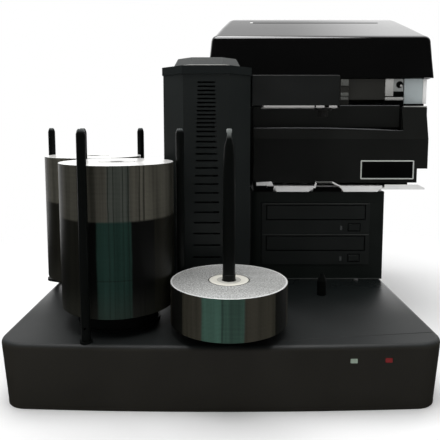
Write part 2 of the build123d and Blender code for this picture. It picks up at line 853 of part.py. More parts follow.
door_left = bezel_left + (bezel_width - tray_door_width) / 2
door_lift = 20.0
button_left = bezel_left + 118.5
button_lift = 5.0
lamp_left = bezel_left + 106.5
tray_plate_lift = 22.0
tray_plate_height = 6.0
tray_plate_half = 65.0
tray_plate_depth = 142.0
tray_x = (bezel_left + bezel_right) / 2
seat_depth = 1.6
seat_radius = disc_radius + 0.8
door_thickness = 5.0
door_window = (door_left - panel_gap, door_left + tray_door_width + panel_gap)
for drive_name, foot in zip(drive_names, bezel_feet):
    door_z = (foot + door_lift, foot + door_lift + tray_door_height)
    button_x = (button_left + panel_gap, button_left + button_width - panel_gap)
    button_z = (foot + button_lift + panel_gap, foot + button_lift + button_height - panel_gap)
    with BuildPart() as bezel:
        block((bezel_left, bezel_right), (bezel_front, drive_body_front), (foot, foot + bezel_height - 0.2))
        fillet(bezel.edges().filter_by(Axis.Y), 0.8)
        block(
            door_window,
            (bezel_front - 1, drive_body_front + 1),
            (door_z[0] - panel_gap, door_z[1] + panel_gap),
            Mode.SUBTRACT,
        )
        block(
            (button_left, button_left + button_width),
            (bezel_front - 1, drive_body_front + 1),
            (foot + button_lift, foot + button_lift + button_height),
            Mode.SUBTRACT,
        )
        block(
            (lamp_left, lamp_left + lamp_width),
            (bezel_front - 1, drive_body_front + 1),
            (foot + button_lift, foot + button_lift + 6),
            Mode.SUBTRACT,
        )
    save(bezel, f"{drive_name}_drive_bezel")

    with BuildPart() as drive_body:
        block(
            (bezel_left + drive_side, bezel_right - drive_side),
            (drive_body_front, drive_body_front + drive_body_depth),
            (foot + 0.5, foot + bezel_height - 1),
        )
        chamfer(drive_body.edges().filter_by(Axis.Y), 0.8)
        block(
            (tray_x - tray_plate_half - moving_gap, tray_x + tray_plate_half + moving_gap),
            (drive_body_front - 1, bezel_front + door_thickness + tray_plate_depth + 2),
            (foot + tray_plate_lift - panel_gap, foot + bezel_height - 3),
            Mode.SUBTRACT,
        )
        block(
            (button_left - 1, button_left + button_width + 1),
            (drive_body_front - 1, drive_body_front + button_travel + 4.5),
            (foot + button_lift - 1, foot + button_lift + button_height + 1),
            Mode.SUBTRACT,
        )
    save(drive_body, f"{drive_name}_drive_body")

    with BuildPart() as drive_tray:
        block((door_left, door_left + tray_door_width), (bezel_front, bezel_front + door_thickness), door_z)
        fillet(drive_tray.edges().group_by(Axis.Y)[0], 0.5)
        tray_top = foot + tray_plate_lift + tray_plate_height
        block(
            (tray_x - tray_plate_half, tray_x + tray_plate_half),
            (bezel_front + door_thickness, bezel_front + door_thickness + tray_plate_depth),
            (foot + tray_plate_lift, tray_top),
        )
        drum([(tray_x, seat_y)], seat_radius, (tray_top - seat_depth, tray_top + 1), Mode.SUBTRACT)
        drum([(tray_x, seat_y)], 41, (tray_top - seat_depth - 0.8, tray_top), Mode.SUBTRACT)
        drum([(tray_x, seat_y)], 19, (foot + tray_plate_lift, tray_top), Mode.SUBTRACT)
        block(
            (tray_x - 19, tray_x + 19),
            (seat_y, bezel_front + door_thickness + tray_plate_depth - 14),
            (foot + tray_plate_lift, tray_top),
            Mode.SUBTRACT,
        )
    save(drive_tray, f"{drive_name}_drive_tray")

    with BuildPart() as eject_button:
        block(button_x, (bezel_front - 0.8, drive_body_front), button_z)
        fillet(eject_button.edges().group_by(Axis.Y)[0], 0.4)
        block(
            (button_x[0] - 0.8, button_x[1] + 0.8),
            (drive_body_front + panel_gap, drive_body_front + 2),
            (button_z[0] - 0.8, button_z[1] + 0.8),
        )
        block(
            (button_x[0] + 2, button_x[1] - 2),
            (drive_body_front - 0.5, drive_body_front + 1),
            (button_z[0] + 1, button_z[1] - 1),
        )
    save(eject_button, f"{drive_name}_eject_button")

with BuildPart() as drive_lamp_lenses:
    for foot in bezel_feet:
        block(
            (lamp_left + seat_gap, lamp_left + lamp_width - seat_gap),
            (bezel_front + 0.3, drive_body_front),
            (foot + button_lift + seat_gap, foot + button_lift + 6 - seat_gap),
        )
save(drive_lamp_lenses, "drive_lamp_lenses")

# Printer base plate
pad_height = 3.0
plate_under = drive_top + pad_height
plate_top = plate_under + plate_thickness
plate_front = print_tray_front + print_tray_thickness + moving_gap
wing_right = chin_foot_right + 10
guide_width = 1.5
guide_height = 3.0
# The left wing reaches over the edge of the tray
guard_foot = plate_top + panel_gap + print_tray_thickness + moving_gap
with BuildPart() as printer_base_plate:
    block((chin_left, wing_right), (plate_front, body_face), (plate_under, plate_top))
    block((printer_left, body_foot_right), (body_face, printer_rear), (plate_under, plate_top))
    block((chin_left + 2, drive_right - 3), (drive_face + 4, drive_face + drive_depth - 10), (drive_top, plate_under))
    for guide_x in (print_tray_left - panel_gap - guide_width, print_tray_right + panel_gap):
        block((guide_x, guide_x + guide_width), (plate_front, plate_front + 150), (plate_top, plate_top + guide_height))
    with BuildSketch(upright(plate_front)) as wings:
        with BuildLine():
            Polyline(
                (print_tray_right + 5, plate_under),
                (wing_right, plate_under),
                (wing_right, plate_under + 2),
                (wing_right - 9, plate_under + 6.5),
                (print_tray_right + 5, plate_under + 6.5),
                close=True,
            )
        make_face()
        with BuildLine():
            Polyline(
                (chin_left, plate_under),
                (chin_left + 6, plate_under),
                (chin_left + 6, guard_foot),
                (print_lip_left - panel_gap, guard_foot),
                (print_lip_left - 3, guard_foot + 5.5),
                (chin_left, guard_foot + 4),
                close=True,
            )
        make_face()
    extrude(wings.sketch, amount=-plate_thickness)
save(printer_base_plate, "printer_base_plate")

# Printer body
lean_foot = 192.0
lean = 3.0 / 11.0
shelf_left_rise = 3.5
with BuildPart() as printer_front_cover:
    with BuildSketch(upright(chin_face)) as face:
        with BuildLine():
            Polyline(
                (chin_left, printer_foot),
                (chin_foot_right, printer_foot),
                (chin_foot_right, chin_step),
                (chin_right, chin_step),
                (chin_right, body_top),
                (flap_right + 3, body_top),
                (flap_right + 3, chin_shelf),
                (chin_left, chin_shelf + shelf_left_rise),
                close=True,
            )
        make_face()
    extrude(face.sketch, amount=-(body_face - chin_face))
    with BuildSketch(sideways(chin_left)) as slope:
        with BuildLine():
            Polyline(
                (chin_face, lean_foot),
                (chin_face, body_top),
                (chin_face + (body_top - lean_foot) * lean, body_top),
                close=True,
            )
        make_face()
    extrude(slope.sketch, amount=chin_right - chin_left, mode=Mode.SUBTRACT)
    block(
        (chin_left + cover_wall, chin_foot_right - cover_wall),
        (chin_face + cover_wall, body_face),
        (printer_foot + cover_wall, lean_foot - cover_wall),
        Mode.SUBTRACT,
    )
    block(
        (flap_right + 3 + cover_wall, chin_right - cover_wall),
        (chin_face + (body_top - lean_foot) * lean + cover_wall, body_face),
        (lean_foot + cover_wall, body_top - cover_wall),
        Mode.SUBTRACT,
    )
save(printer_front_cover, "printer_front_cover")

badge_centre = (224.5, 150.5)
badge_size = (72.0, 25.6)
badge_thickness = 1.0
with BuildPart() as badge_plate:
    with BuildSketch(upright(chin_face, badge_centre[0], badge_centre[1])):
        RectangleRounded(badge_size[0], badge_size[1], 1.5)
    extrude(amount=badge_thickness)
    with BuildSketch(upright(chin_face - badge_thickness, badge_centre[0], badge_centre[1])):
        RectangleRounded(badge_size[0] - 3, badge_size[1] - 3, 0.8)
    extrude(amount=-0.4, mode=Mode.SUBTRACT)
save(badge_plate, "badge_plate")

flap_face = chin_face + (body_top - lean_foot) * lean + 1.5
flap_foot = chin_shelf + shelf_left_rise + 1.0
with BuildPart() as ribbon_flap:
    block((chin_left, flap_right), (flap_face, flap_face + cover_wall), (flap_foot, body_top + cover_wall))
    block((chin_left, flap_right), (flap_face, body_face + 4), (body_top, body_top + cover_wall))
    fillet(ribbon_flap.edges().filter_by(Axis.X).group_by(Axis.Z)[-1].sort_by(Axis.Y)[0], 1.2)
save(ribbon_flap, "ribbon_flap")

with BuildPart() as printer_body_cover:
    block((printer_left, printer_right), (body_face, printer_rear), (plate_top, body_top))
    fillet(printer_body_cover.edges().filter_by(Axis.Z), 3)
    block((body_foot_right, printer_right), (body_face, printer_rear), (plate_top, chin_step), Mode.SUBTRACT)
    cavity_y = (body_face + cover_wall, printer_rear - cover_wall)
    block(
        (printer_left + cover_wall, body_foot_right - cover_wall),
        cavity_y,
        (plate_top, chin_step + cover_wall),
        Mode.SUBTRACT,
    )
    block(
        (printer_left + cover_wall, printer_right - cover_wall),
        cavity_y,
        (chin_step + cover_wall, body_top - cover_wall),
        Mode.SUBTRACT,
    )
    block(
        (printer_left + 3.5, printer_right - 3.5),
        (body_face + 5, printer_rear - 5),
        (body_top - cover_wall - 1, body_top),
        Mode.SUBTRACT,
    )
    block(
        (print_tray_left - 4, print_tray_right + 4),
        (body_face - 1, body_face + cover_wall + 1),
        (plate_top, plate_top + 9),
        Mode.SUBTRACT,
    )
save(printer_body_cover, "printer_body_cover")

# Printer frames, ribbon and print head
frame_front = body_face + 6
frame_rear = hinge_y - 17
ear_radius_lid = 8.0
left_frame_x = (printer_left + 4, printer_left + 4 + frame_thickness)
right_frame_x = (printer_right - 4 - frame_thickness, printer_right - 4)
roll_places = [(supply_y, roll_height), (takeup_y, roll_height)]
rear_plate_y = (frame_rear - 6, frame_rear - 6 + frame_thickness)
frame_step = chin_step + cover_wall
for frame_name, frame_x, frame_foot in (
    ("printer_frame_left", left_frame_x, plate_top),
    ("printer_frame_right", right_frame_x, frame_step),
):
    with BuildPart() as frame:
        with BuildSketch(sideways(frame_x[0])) as plate:
            with BuildLine():
                Polyline(
                    (frame_front, frame_foot),
                    (frame_rear, frame_foot),
                    (frame_rear, frame_top - 8),
                    (hinge_y - 6, hinge_z - 7),
                    (hinge_y, hinge_z + ear_radius_lid),
                    (frame_rear - 20, hinge_z + ear_radius_lid),
                    (frame_rear - 30, frame_top),
                    (frame_front, frame_top),
                    close=True,
                )
            make_face()
            with Locations((hinge_y, hinge_z)):
                Circle(ear_radius_lid)
                Circle(hinge_radius + seat_gap, mode=Mode.SUBTRACT)
            with Locations(*roll_places):
                Circle(journal_radius + running_gap, mode=Mode.SUBTRACT)
        extrude(plate.sketch, amount=frame_thickness)
        if frame_name == "printer_frame_left":
            # The left side turns the corner as one bent sheet and closes the rear
            block((frame_x[1], right_frame_x[0]), rear_plate_y, (frame_step, frame_top - 8))
            block((frame_x[1], body_foot_right - 10), rear_plate_y, (plate_top, frame_step))
        if frame_name == "printer_frame_right":
            block(
                (frame_x[1] - bracket_width, frame_x[0]),
                (frame_front, frame_front + frame_thickness),
                (body_top + 5.3, frame_top),
            )
    save(frame, frame_name)

head_y = 368.0
head_half = 16.0
head_foot = 133.0
head_top = 176.0
head_beam = 156.0
block_reach = (60.0, 218.0)
with BuildPart() as print_head:
    with BuildSketch(sideways(left_frame_x[1])) as section:
        with BuildLine():
            Polyline(
                (head_y - head_half, head_top),
                (head_y - head_half, head_beam),
                (head_y + head_half, head_beam),
                (head_y + head_half, head_top),
                close=True,
            )
        make_face()
        with Locations((head_y, head_top)):
            with GridLocations(6, 0, 6, 1):
                Rectangle(3, 24)
    extrude(section.sketch, amount=right_frame_x[0] - left_frame_x[1])
    with BuildSketch(sideways(block_reach[0])) as wedge:
        with BuildLine():
            Polyline(
                (head_y - head_half, head_beam),
                (head_y - head_half, head_beam - 6),
                (head_y - 6, head_foot),
                (head_y, head_foot),
                (head_y + head_half, head_beam - 6),
                (head_y + head_half, head_beam),
                close=True,
            )
        make_face()
    extrude(wedge.sketch, amount=block_reach[1] - block_reach[0])
save(print_head, "print_head")

for roll_name, roll_y, film in (("ribbon_supply_roll", supply_y, roll_radius), ("ribbon_takeup_roll", takeup_y, 15.0)):
    with BuildPart() as roll:
        axle([(roll_y, roll_height)], film, (roll_left, roll_right))
        chamfer(roll.edges().filter_by(GeomType.CIRCLE), 0.6)
        axle([(roll_y, roll_height)], 9, (roll_left - 8, roll_right + 18))
        axle([(roll_y, roll_height)], journal_radius, (left_frame_x[0] - 1, right_frame_x[1] + 1))
    save(roll, roll_name)

with BuildPart() as ribbon_bracket:
    bracket_x = (roll_right + 22, right_frame_x[0])
    bracket_y = (supply_y - 14, supply_y + 14)
    bracket_foot = roll_height - roll_radius - 3
    with BuildSketch(sideways(bracket_x[0])) as cheek:
        with BuildLine():
            Polyline(
                (bracket_y[0], bracket_foot),
                (bracket_y[1], bracket_foot),
                (bracket_y[1], frame_top - 0.5),
                (bracket_y[0], frame_top - 0.5),
                close=True,
            )
        make_face()
        with Locations((supply_y, roll_height)):
            Circle(journal_radius + panel_gap, mode=Mode.SUBTRACT)
    extrude(cheek.sketch, amount=3)
    block(bracket_x, bracket_y, (bracket_foot, bracket_foot + 3.5))
save(ribbon_bracket, "ribbon_bracket")

# Printer tray
print_tray_under = plate_top + panel_gap
print_tray_top = print_tray_under + print_tray_thickness
print_seat_y = print_tray_front + 69.0
with BuildPart() as printer_tray:
    tray_y = (print_tray_front, print_tray_front + print_tray_depth)
    block((print_tray_left, print_tray_right), tray_y, (print_tray_under, print_tray_top))
    # The lip hangs in two lengths with sloping ends, left and right of the finger notch
    lip_foot = print_tray_under - print_lip_drop
    arch_top = print_tray_top + notch_rise
    with BuildSketch(upright(print_tray_front)) as lips:
        for lip_left, lip_right, left_slope, right_slope in (
            (print_lip_left, notch_foot[0] + notch_rim, lip_slopes[0], lip_slopes[1]),
            (notch_foot[1] - notch_rim, print_tray_right, lip_slopes[2], lip_slopes[3]),
        ):
            with BuildLine():
                Polyline(
                    (lip_left, print_tray_top),
                    (lip_left + left_slope, lip_foot),
                    (lip_right - right_slope, lip_foot),
                    (lip_right, print_tray_top),
                    close=True,
                )
            make_face()
    extrude(lips.sketch, amount=-print_tray_thickness)
    with BuildSketch(upright(print_tray_front)) as arch:
        with BuildLine():
            Polyline(
                (notch_foot[0], print_tray_under),
                (notch_foot[1], print_tray_under),
                (notch_foot[1], print_tray_top),
                (notch_head[1], arch_top),
                (notch_head[0], arch_top),
                (notch_foot[0], print_tray_top),
                close=True,
            )
        make_face()
    extrude(arch.sketch, amount=-print_tray_thickness)
    with BuildSketch(upright(print_tray_front - 1)) as opening:
        with BuildLine():
            Polyline(
                (notch_foot[0] + notch_rim, print_tray_under - 1),
                (notch_foot[1] - notch_rim, print_tray_under - 1),
                (notch_foot[1] - notch_rim, print_tray_top - notch_rim / 2),
                (notch_head[1] - notch_rim / 2, arch_top - notch_rim),
                (notch_head[0] + notch_rim, arch_top - notch_rim),
                (notch_foot[0] + notch_rim, print_tray_top - notch_rim),
                close=True,
            )
        make_face()
    extrude(opening.sketch, amount=-(notch_depth + 1), mode=Mode.SUBTRACT)
    drum([(drop_x, print_seat_y)], seat_radius - 0.2, (print_tray_top - 1, print_tray_top), Mode.SUBTRACT)
    drum([(drop_x, print_seat_y)], locator_radius, (print_tray_under, print_tray_top + 0.5))
save(printer_tray, "printer_tray")

# Printer lid
lid_mid = (lid_left + lid_right) / 2
lid_half = (lid_right - lid_left) / 2


def lid_form(wall):
    """Solid form of the lid from its rim to its flat top, drawn in by a wall."""
    slope = (lid_top - lid_shoulder) / lid_front_slope
    rows = (
        (lid_bottom, 0.0, 0.0, 0.0),
        (lid_shoulder - lid_rounding, lid_draft, lid_rounding / 3, lid_rounding / 3),
        (lid_shoulder - lid_rounding / 4, lid_draft + 1, lid_rounding * 0.7, lid_rounding * 0.7),
        (lid_shoulder + lid_rounding * slope, lid_draft + 3, lid_rounding * 1.6, lid_rounding * 1.4),
        (lid_top, lid_inset, lid_front_slope, lid_rear_slope),
    )
    sections = []
    for height, side, front, rear in rows:
        drop = wall if height > lid_bottom else 0.0
        low = body_face + front + wall
        high = lid_rear - rear - wall
        with BuildSketch(level(height - drop, lid_mid, (low + high) / 2)) as section:
            RectangleRounded(2 * (lid_half - side - wall), high - low, lid_corner)
        sections.append(section.sketch)
    with BuildPart() as form:
        loft(sections, ruled=True)
    return form.part


lug_radius = 7.0
with BuildPart() as printer_lid:
    add(lid_form(0.0))
    add(lid_form(lid_wall), mode=Mode.SUBTRACT)
    for lug_x in ((lid_left + lid_wall, left_frame_x[0] - moving_gap), (right_frame_x[1] + moving_gap, lid_right - lid_wall)):
        axle([(hinge_y, hinge_z)], lug_radius, lug_x)
    for bore_x in ((lid_left + lid_wall, left_frame_x[0]), (right_frame_x[1], lid_right - lid_wall)):
        axle([(hinge_y, hinge_z)], hinge_radius + running_gap, bore_x, Mode.SUBTRACT)
save(printer_lid, "printer_lid")

with BuildPart() as lid_hinge_pins:
    for pin_x in (
        (lid_left + lid_wall + 2, left_frame_x[1] + 2),
        (right_frame_x[0] - 2, lid_right - lid_wall - 2),
    ):
        axle([(hinge_y, hinge_z)], hinge_radius, pin_x)
save(lid_hinge_pins, "lid_hinge_pins")
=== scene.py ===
import json
import math

import bmesh
import bpy
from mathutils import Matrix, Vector


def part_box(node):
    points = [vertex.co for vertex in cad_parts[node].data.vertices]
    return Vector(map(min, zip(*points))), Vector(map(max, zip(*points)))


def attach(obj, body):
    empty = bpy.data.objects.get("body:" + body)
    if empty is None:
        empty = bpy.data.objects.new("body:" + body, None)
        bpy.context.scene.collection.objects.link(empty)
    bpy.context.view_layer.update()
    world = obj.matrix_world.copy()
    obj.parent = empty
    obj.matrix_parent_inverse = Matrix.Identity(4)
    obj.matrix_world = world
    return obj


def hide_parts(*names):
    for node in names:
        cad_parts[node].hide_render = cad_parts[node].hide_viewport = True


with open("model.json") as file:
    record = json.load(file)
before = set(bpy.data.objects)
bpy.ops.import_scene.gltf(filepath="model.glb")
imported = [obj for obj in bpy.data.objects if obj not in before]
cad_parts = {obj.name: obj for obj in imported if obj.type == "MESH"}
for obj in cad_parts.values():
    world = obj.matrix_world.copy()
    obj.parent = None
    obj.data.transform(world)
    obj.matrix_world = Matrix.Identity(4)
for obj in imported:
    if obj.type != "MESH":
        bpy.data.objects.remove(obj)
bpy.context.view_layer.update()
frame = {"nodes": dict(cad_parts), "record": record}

nodes = frame["nodes"]
slotOfNode = {part["node"]: part["material_slot"] for part in frame["record"]["subparts"]}

# Places on the machine are in millimetres: right of the base's middle, back from its front, up from the deck
badgeDepth = 221.0  # how far the badge plate's face lies behind the base's front
baseLow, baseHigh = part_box("base_shell")
machine = {
    "middle": 500 * (baseLow[0] + baseHigh[0]),
    "front": 1000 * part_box("badge_plate")[0][1] - badgeDepth,
    "deckHeight": 1000 * baseHigh[2],
}


def middleOf(node):  # where a node's middle lies on the deck
    low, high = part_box(node)
    return 500 * (low[0] + high[0]) - machine["middle"], 500 * (low[1] + high[1]) - machine["front"]


machine["tower"] = middleOf("swivel_pulley")


def at(x, y, z):
    return Vector((x + machine["middle"], y + machine["front"], z + machine["deckHeight"])) / 1000


def onArm(along, across, z):  # a place measured along the arm and across it
    return at(machine["tower"][0] + along, machine["tower"][1] + across, z)


class Signal:  # one output of a node, on which + - * / % add Math nodes
    def __init__(self, paint, socket):
        self.paint = paint
        self.socket = socket

    def maths(self, operation, first, second=0.0):
        return self.paint.add("ShaderNodeMath", {"operation": operation}, {0: first, 1: second})

    def __add__(self, other):
        return self.maths("ADD", self, other)

    def __radd__(self, other):
        return self.maths("ADD", other, self)

    def __sub__(self, other):
        return self.maths("SUBTRACT", self, other)

    def __rsub__(self, other):
        return self.maths("SUBTRACT", other, self)

    def __mul__(self, other):
        return self.maths("MULTIPLY", self, other)

    def __rmul__(self, other):
        return self.maths("MULTIPLY", other, self)

    def __truediv__(self, other):
        return self.maths("DIVIDE", self, other)

    def __mod__(self, other):
        return self.maths("FLOORED_MODULO", self, other)

    def above(self, level):
        return self.maths("GREATER_THAN", self, level)

    def below(self, level):
        return self.maths("LESS_THAN", self, level)

    def between(self, low, high):
        return self.above(low) * self.below(high)

    def atMost(self, level):
        return self.maths("MINIMUM", self, level)

    def atLeast(self, level):
        return self.maths("MAXIMUM", self, level)

    def ease(self, low, high):  # 0 below low, 1 above high and smooth between
        settings = {"interpolation_type": "SMOOTHSTEP"}
        return self.paint.add("ShaderNodeMapRange", settings, {0: self, 1: low, 2: high})

    def output(self, name):  # another output of the same node
        return Signal(self.paint, self.socket.node.outputs[name])


class Paint:  # the nodes of one material, or of the world
    def __init__(self, name, owner=None, coordinates="Object"):
        self.owner = owner or bpy.data.materials.new(name)
        self.owner.use_nodes = True
        self.tree = self.owner.node_tree
        self.tree.nodes.clear()
        self.place = self.add("ShaderNodeTexCoord", {}, {}, coordinates)

    def add(self, kind, settings, values, out=0):
        node = self.tree.nodes.new(kind)
        for key, value in settings.items():
            setattr(node, key, value)
        for key, value in values.items():
            if isinstance(value, Signal):
                self.tree.links.new(value.socket, node.inputs[key])
            else:
                node.inputs[key].default_value = value
        return Signal(self, node.outputs[out]) if len(node.outputs) else node

    def noise(self, scale, detail=3.0, stretch=(1.0, 1.0, 1.0)):
        moved = self.add("ShaderNodeMapping", {}, {"Vector": self.place, "Scale": stretch})
        values = {"Vector": moved, "Scale": scale, "Detail": detail, "Roughness": 0.55}
        return self.add("ShaderNodeTexNoise", {}, values, "Fac")

    def axes(self):
        x = self.add("ShaderNodeSeparateXYZ", {}, {0: self.place})
        return x, x.output(1), x.output(2)

    def reach(self, vector):  # how long a vector is
        return self.add("ShaderNodeVectorMath", {"operation": "LENGTH"}, {0: vector}, "Value")

    def blend(self, share, first, second):
        colours = [(*colour, 1.0) if isinstance(colour, tuple) else colour for colour in (first, second)]
        values = {0: share, 6: colours[0], 7: colours[1]}
        return self.add("ShaderNodeMix", {"data_type": "RGBA"}, values, 2)

    def finish(self, values, bumps=()):  # each bump is a height, its strength and its depth in millimetres
        normal = None
        for height, strength, depth in bumps:
            bump = {"Height": height, "Strength": strength, "Distance": depth / 1000}
            if normal is not None:
                bump["Normal"] = normal
            normal = self.add("ShaderNodeBump", {}, bump)
        if normal is not None:
            values["Normal"] = normal
        shader = self.add("ShaderNodeBsdfPrincipled", {}, values)
        self.add("ShaderNodeOutputMaterial", {}, {0: shader})
        return self.owner


# Finishes. Sizes of clouds, grain and strokes are in millimetres
plainLook = {
    "dark": (0.010, 0.010, 0.009),
    "light": (0.018, 0.018, 0.016),
    "cloudSize": 60.0,
    "grainSize": 0.8,
    "grainDepth": 0.05,
    "roughness": 0.5,
    "roughnessSpread": 0.12,
    "specular": 0.4,
    "coat": 0.0,
    "coatRoughness": 0.1,
}


def mottle(cloud, grain):  # how light a spot is, mostly from its cloud and less from its grain
    return 0.5 + (cloud - 0.5) * 1.2 + (grain - 0.5) * 0.8


def darker(colour, share):
    return tuple(share * part for part in colour)


def moulded(name, **changes):  # plastic, rubber or paint: faint clouds of shade over a fine grain
    look = {**plainLook, **changes}
    paint = Paint(name)
    cloud = paint.noise(1000 / look["cloudSize"], detail=2.0)
    grain = paint.noise(1000 / look["grainSize"])
    values = {
        "Base Color": paint.blend(mottle(cloud, grain), look["dark"], look["light"]),
        "Roughness": look["roughness"] + (cloud - 0.5) * look["roughnessSpread"],
        "Specular IOR Level": look["specular"],
        "Coat Weight": look["coat"],
        "Coat Roughness": look["coatRoughness"],
    }
    return paint.finish(values, [(grain, 0.6, look["grainDepth"])])


metalLook = {
    "dark": (0.42, 0.43, 0.44),
    "light": (0.62, 0.63, 0.64),
    "strokeSize": 4.0,
    "stretch": (0.06, 1.0, 1.0),
    "strokeDepth": 0.02,
    "roughness": 0.35,
    "roughnessSpread": 0.25,
    "metallic": 1.0,
}


def brushed(name, **changes):  # metal with strokes along one way
    look = {**metalLook, **changes}
    paint = Paint(name)
    stroke = paint.noise(1000 / look["strokeSize"], detail=4.0, stretch=look["stretch"])
    cloud = paint.noise(18.0, detail=2.0)
    values = {
        "Base Color": paint.blend(stroke, look["dark"], look["light"]),
        "Roughness": look["roughness"] + (stroke - 0.5) * look["roughnessSpread"] + (cloud - 0.5) * 0.1,
        "Metallic": look["metallic"],
    }
    return paint.finish(values, [(stroke, 0.5, look["strokeDepth"])])


def glowing(name, colour, strength):  # a small lamp behind a clear lens
    paint = Paint(name)
    grain = paint.noise(1200.0, detail=2.0)
    tint = paint.blend(grain, darker(colour, 0.6), colour)
    values = {
        "Base Color": tint,
        "Roughness": 0.2 + grain * 0.1,
        "Emission Color": tint,
        "Emission Strength": strength,
    }
    return paint.finish(values, [(grain, 0.3, 0.05)])


def ribbonFilm():  # dark wound film with fine lines across
    paint = Paint("ribbonFilm")
    lines = paint.noise(900.0, stretch=(1.0, 0.02, 0.02))
    cloud = paint.noise(25.0, detail=2.0)
    values = {
        "Base Color": paint.blend(lines * 0.7 + cloud * 0.3, (0.020, 0.018, 0.014), (0.042, 0.040, 0.034)),
        "Roughness": 0.28 + (cloud - 0.5) * 0.2,
        "Coat Weight": 0.3,
    }
    return paint.finish(values, [(lines, 0.3, 0.03)])


def tipped(name, tipHeights, dark, tip):  # satin black, paler in patches above these heights on the deck: a painted highlight on the tips of the posts and spindle, a paler frustum on the tower's cap
    paint = Paint(name)
    height = paint.axes()[2] * 1000 - machine["deckHeight"]
    grain = paint.noise(900.0)
    cloud = paint.noise(90.0, detail=2.0)
    # paler in patches above the tip heights: on posts and spindle a painted highlight
    paleTop = height.ease(*tipHeights) * cloud.ease(0.1, 0.4)
    body = paint.blend(grain, darker(dark, 0.5), dark)
    values = {
        "Base Color": paint.blend(paleTop, body, paint.blend(grain, darker(tip, 0.6), tip)),
        "Roughness": 0.34 + (cloud - 0.5) * 0.1,
        "Specular IOR Level": 0.14,
    }
    return paint.finish(values, [(grain, 0.3, 0.02)])


cabinetLook = {
    "wall": ((0.0152, 0.0134, 0.0088), (0.0228, 0.0202, 0.0138)),
    # painted shade and reflection: the deck of the same shell darker and bluer than its walls
    "deck": ((0.0050, 0.0066, 0.0066), (0.0085, 0.0108, 0.0108)),
    "edgeHeights": (-4.0, -1.0),
    "roughness": 0.56,
    "smootherBy": 0.28,
    "smootherFrom": 60.0,
    "smootherTo": 190.0,
    "grainDepth": 0.09,
}


def cabinetPaint():  # leather-like grain, smoother at the back of the deck than at its front; the deck darker and bluer than the walls, painted shade and reflection
    look = cabinetLook
    paint = Paint("cabinetGrain")
    x, y, z = paint.axes()
    back = (y * 1000 - machine["front"]).ease(look["smootherFrom"], look["smootherTo"])
    onDeck = (z * 1000 - machine["deckHeight"]).ease(*look["edgeHeights"])
    cloud = paint.noise(18.0, detail=2.0)
    grain = paint.noise(900.0)
    shade = mottle(cloud, grain)
    wall = paint.blend(shade, *look["wall"])
    deck = paint.blend(shade, *look["deck"])
    values = {
        "Base Color": paint.blend(onDeck, wall, deck),
        "Roughness": look["roughness"] - back * look["smootherBy"] + (cloud - 0.5) * 0.1,
        "Specular IOR Level": 0.5,
    }
    return paint.finish(values, [(grain, 0.6, look["grainDepth"])])


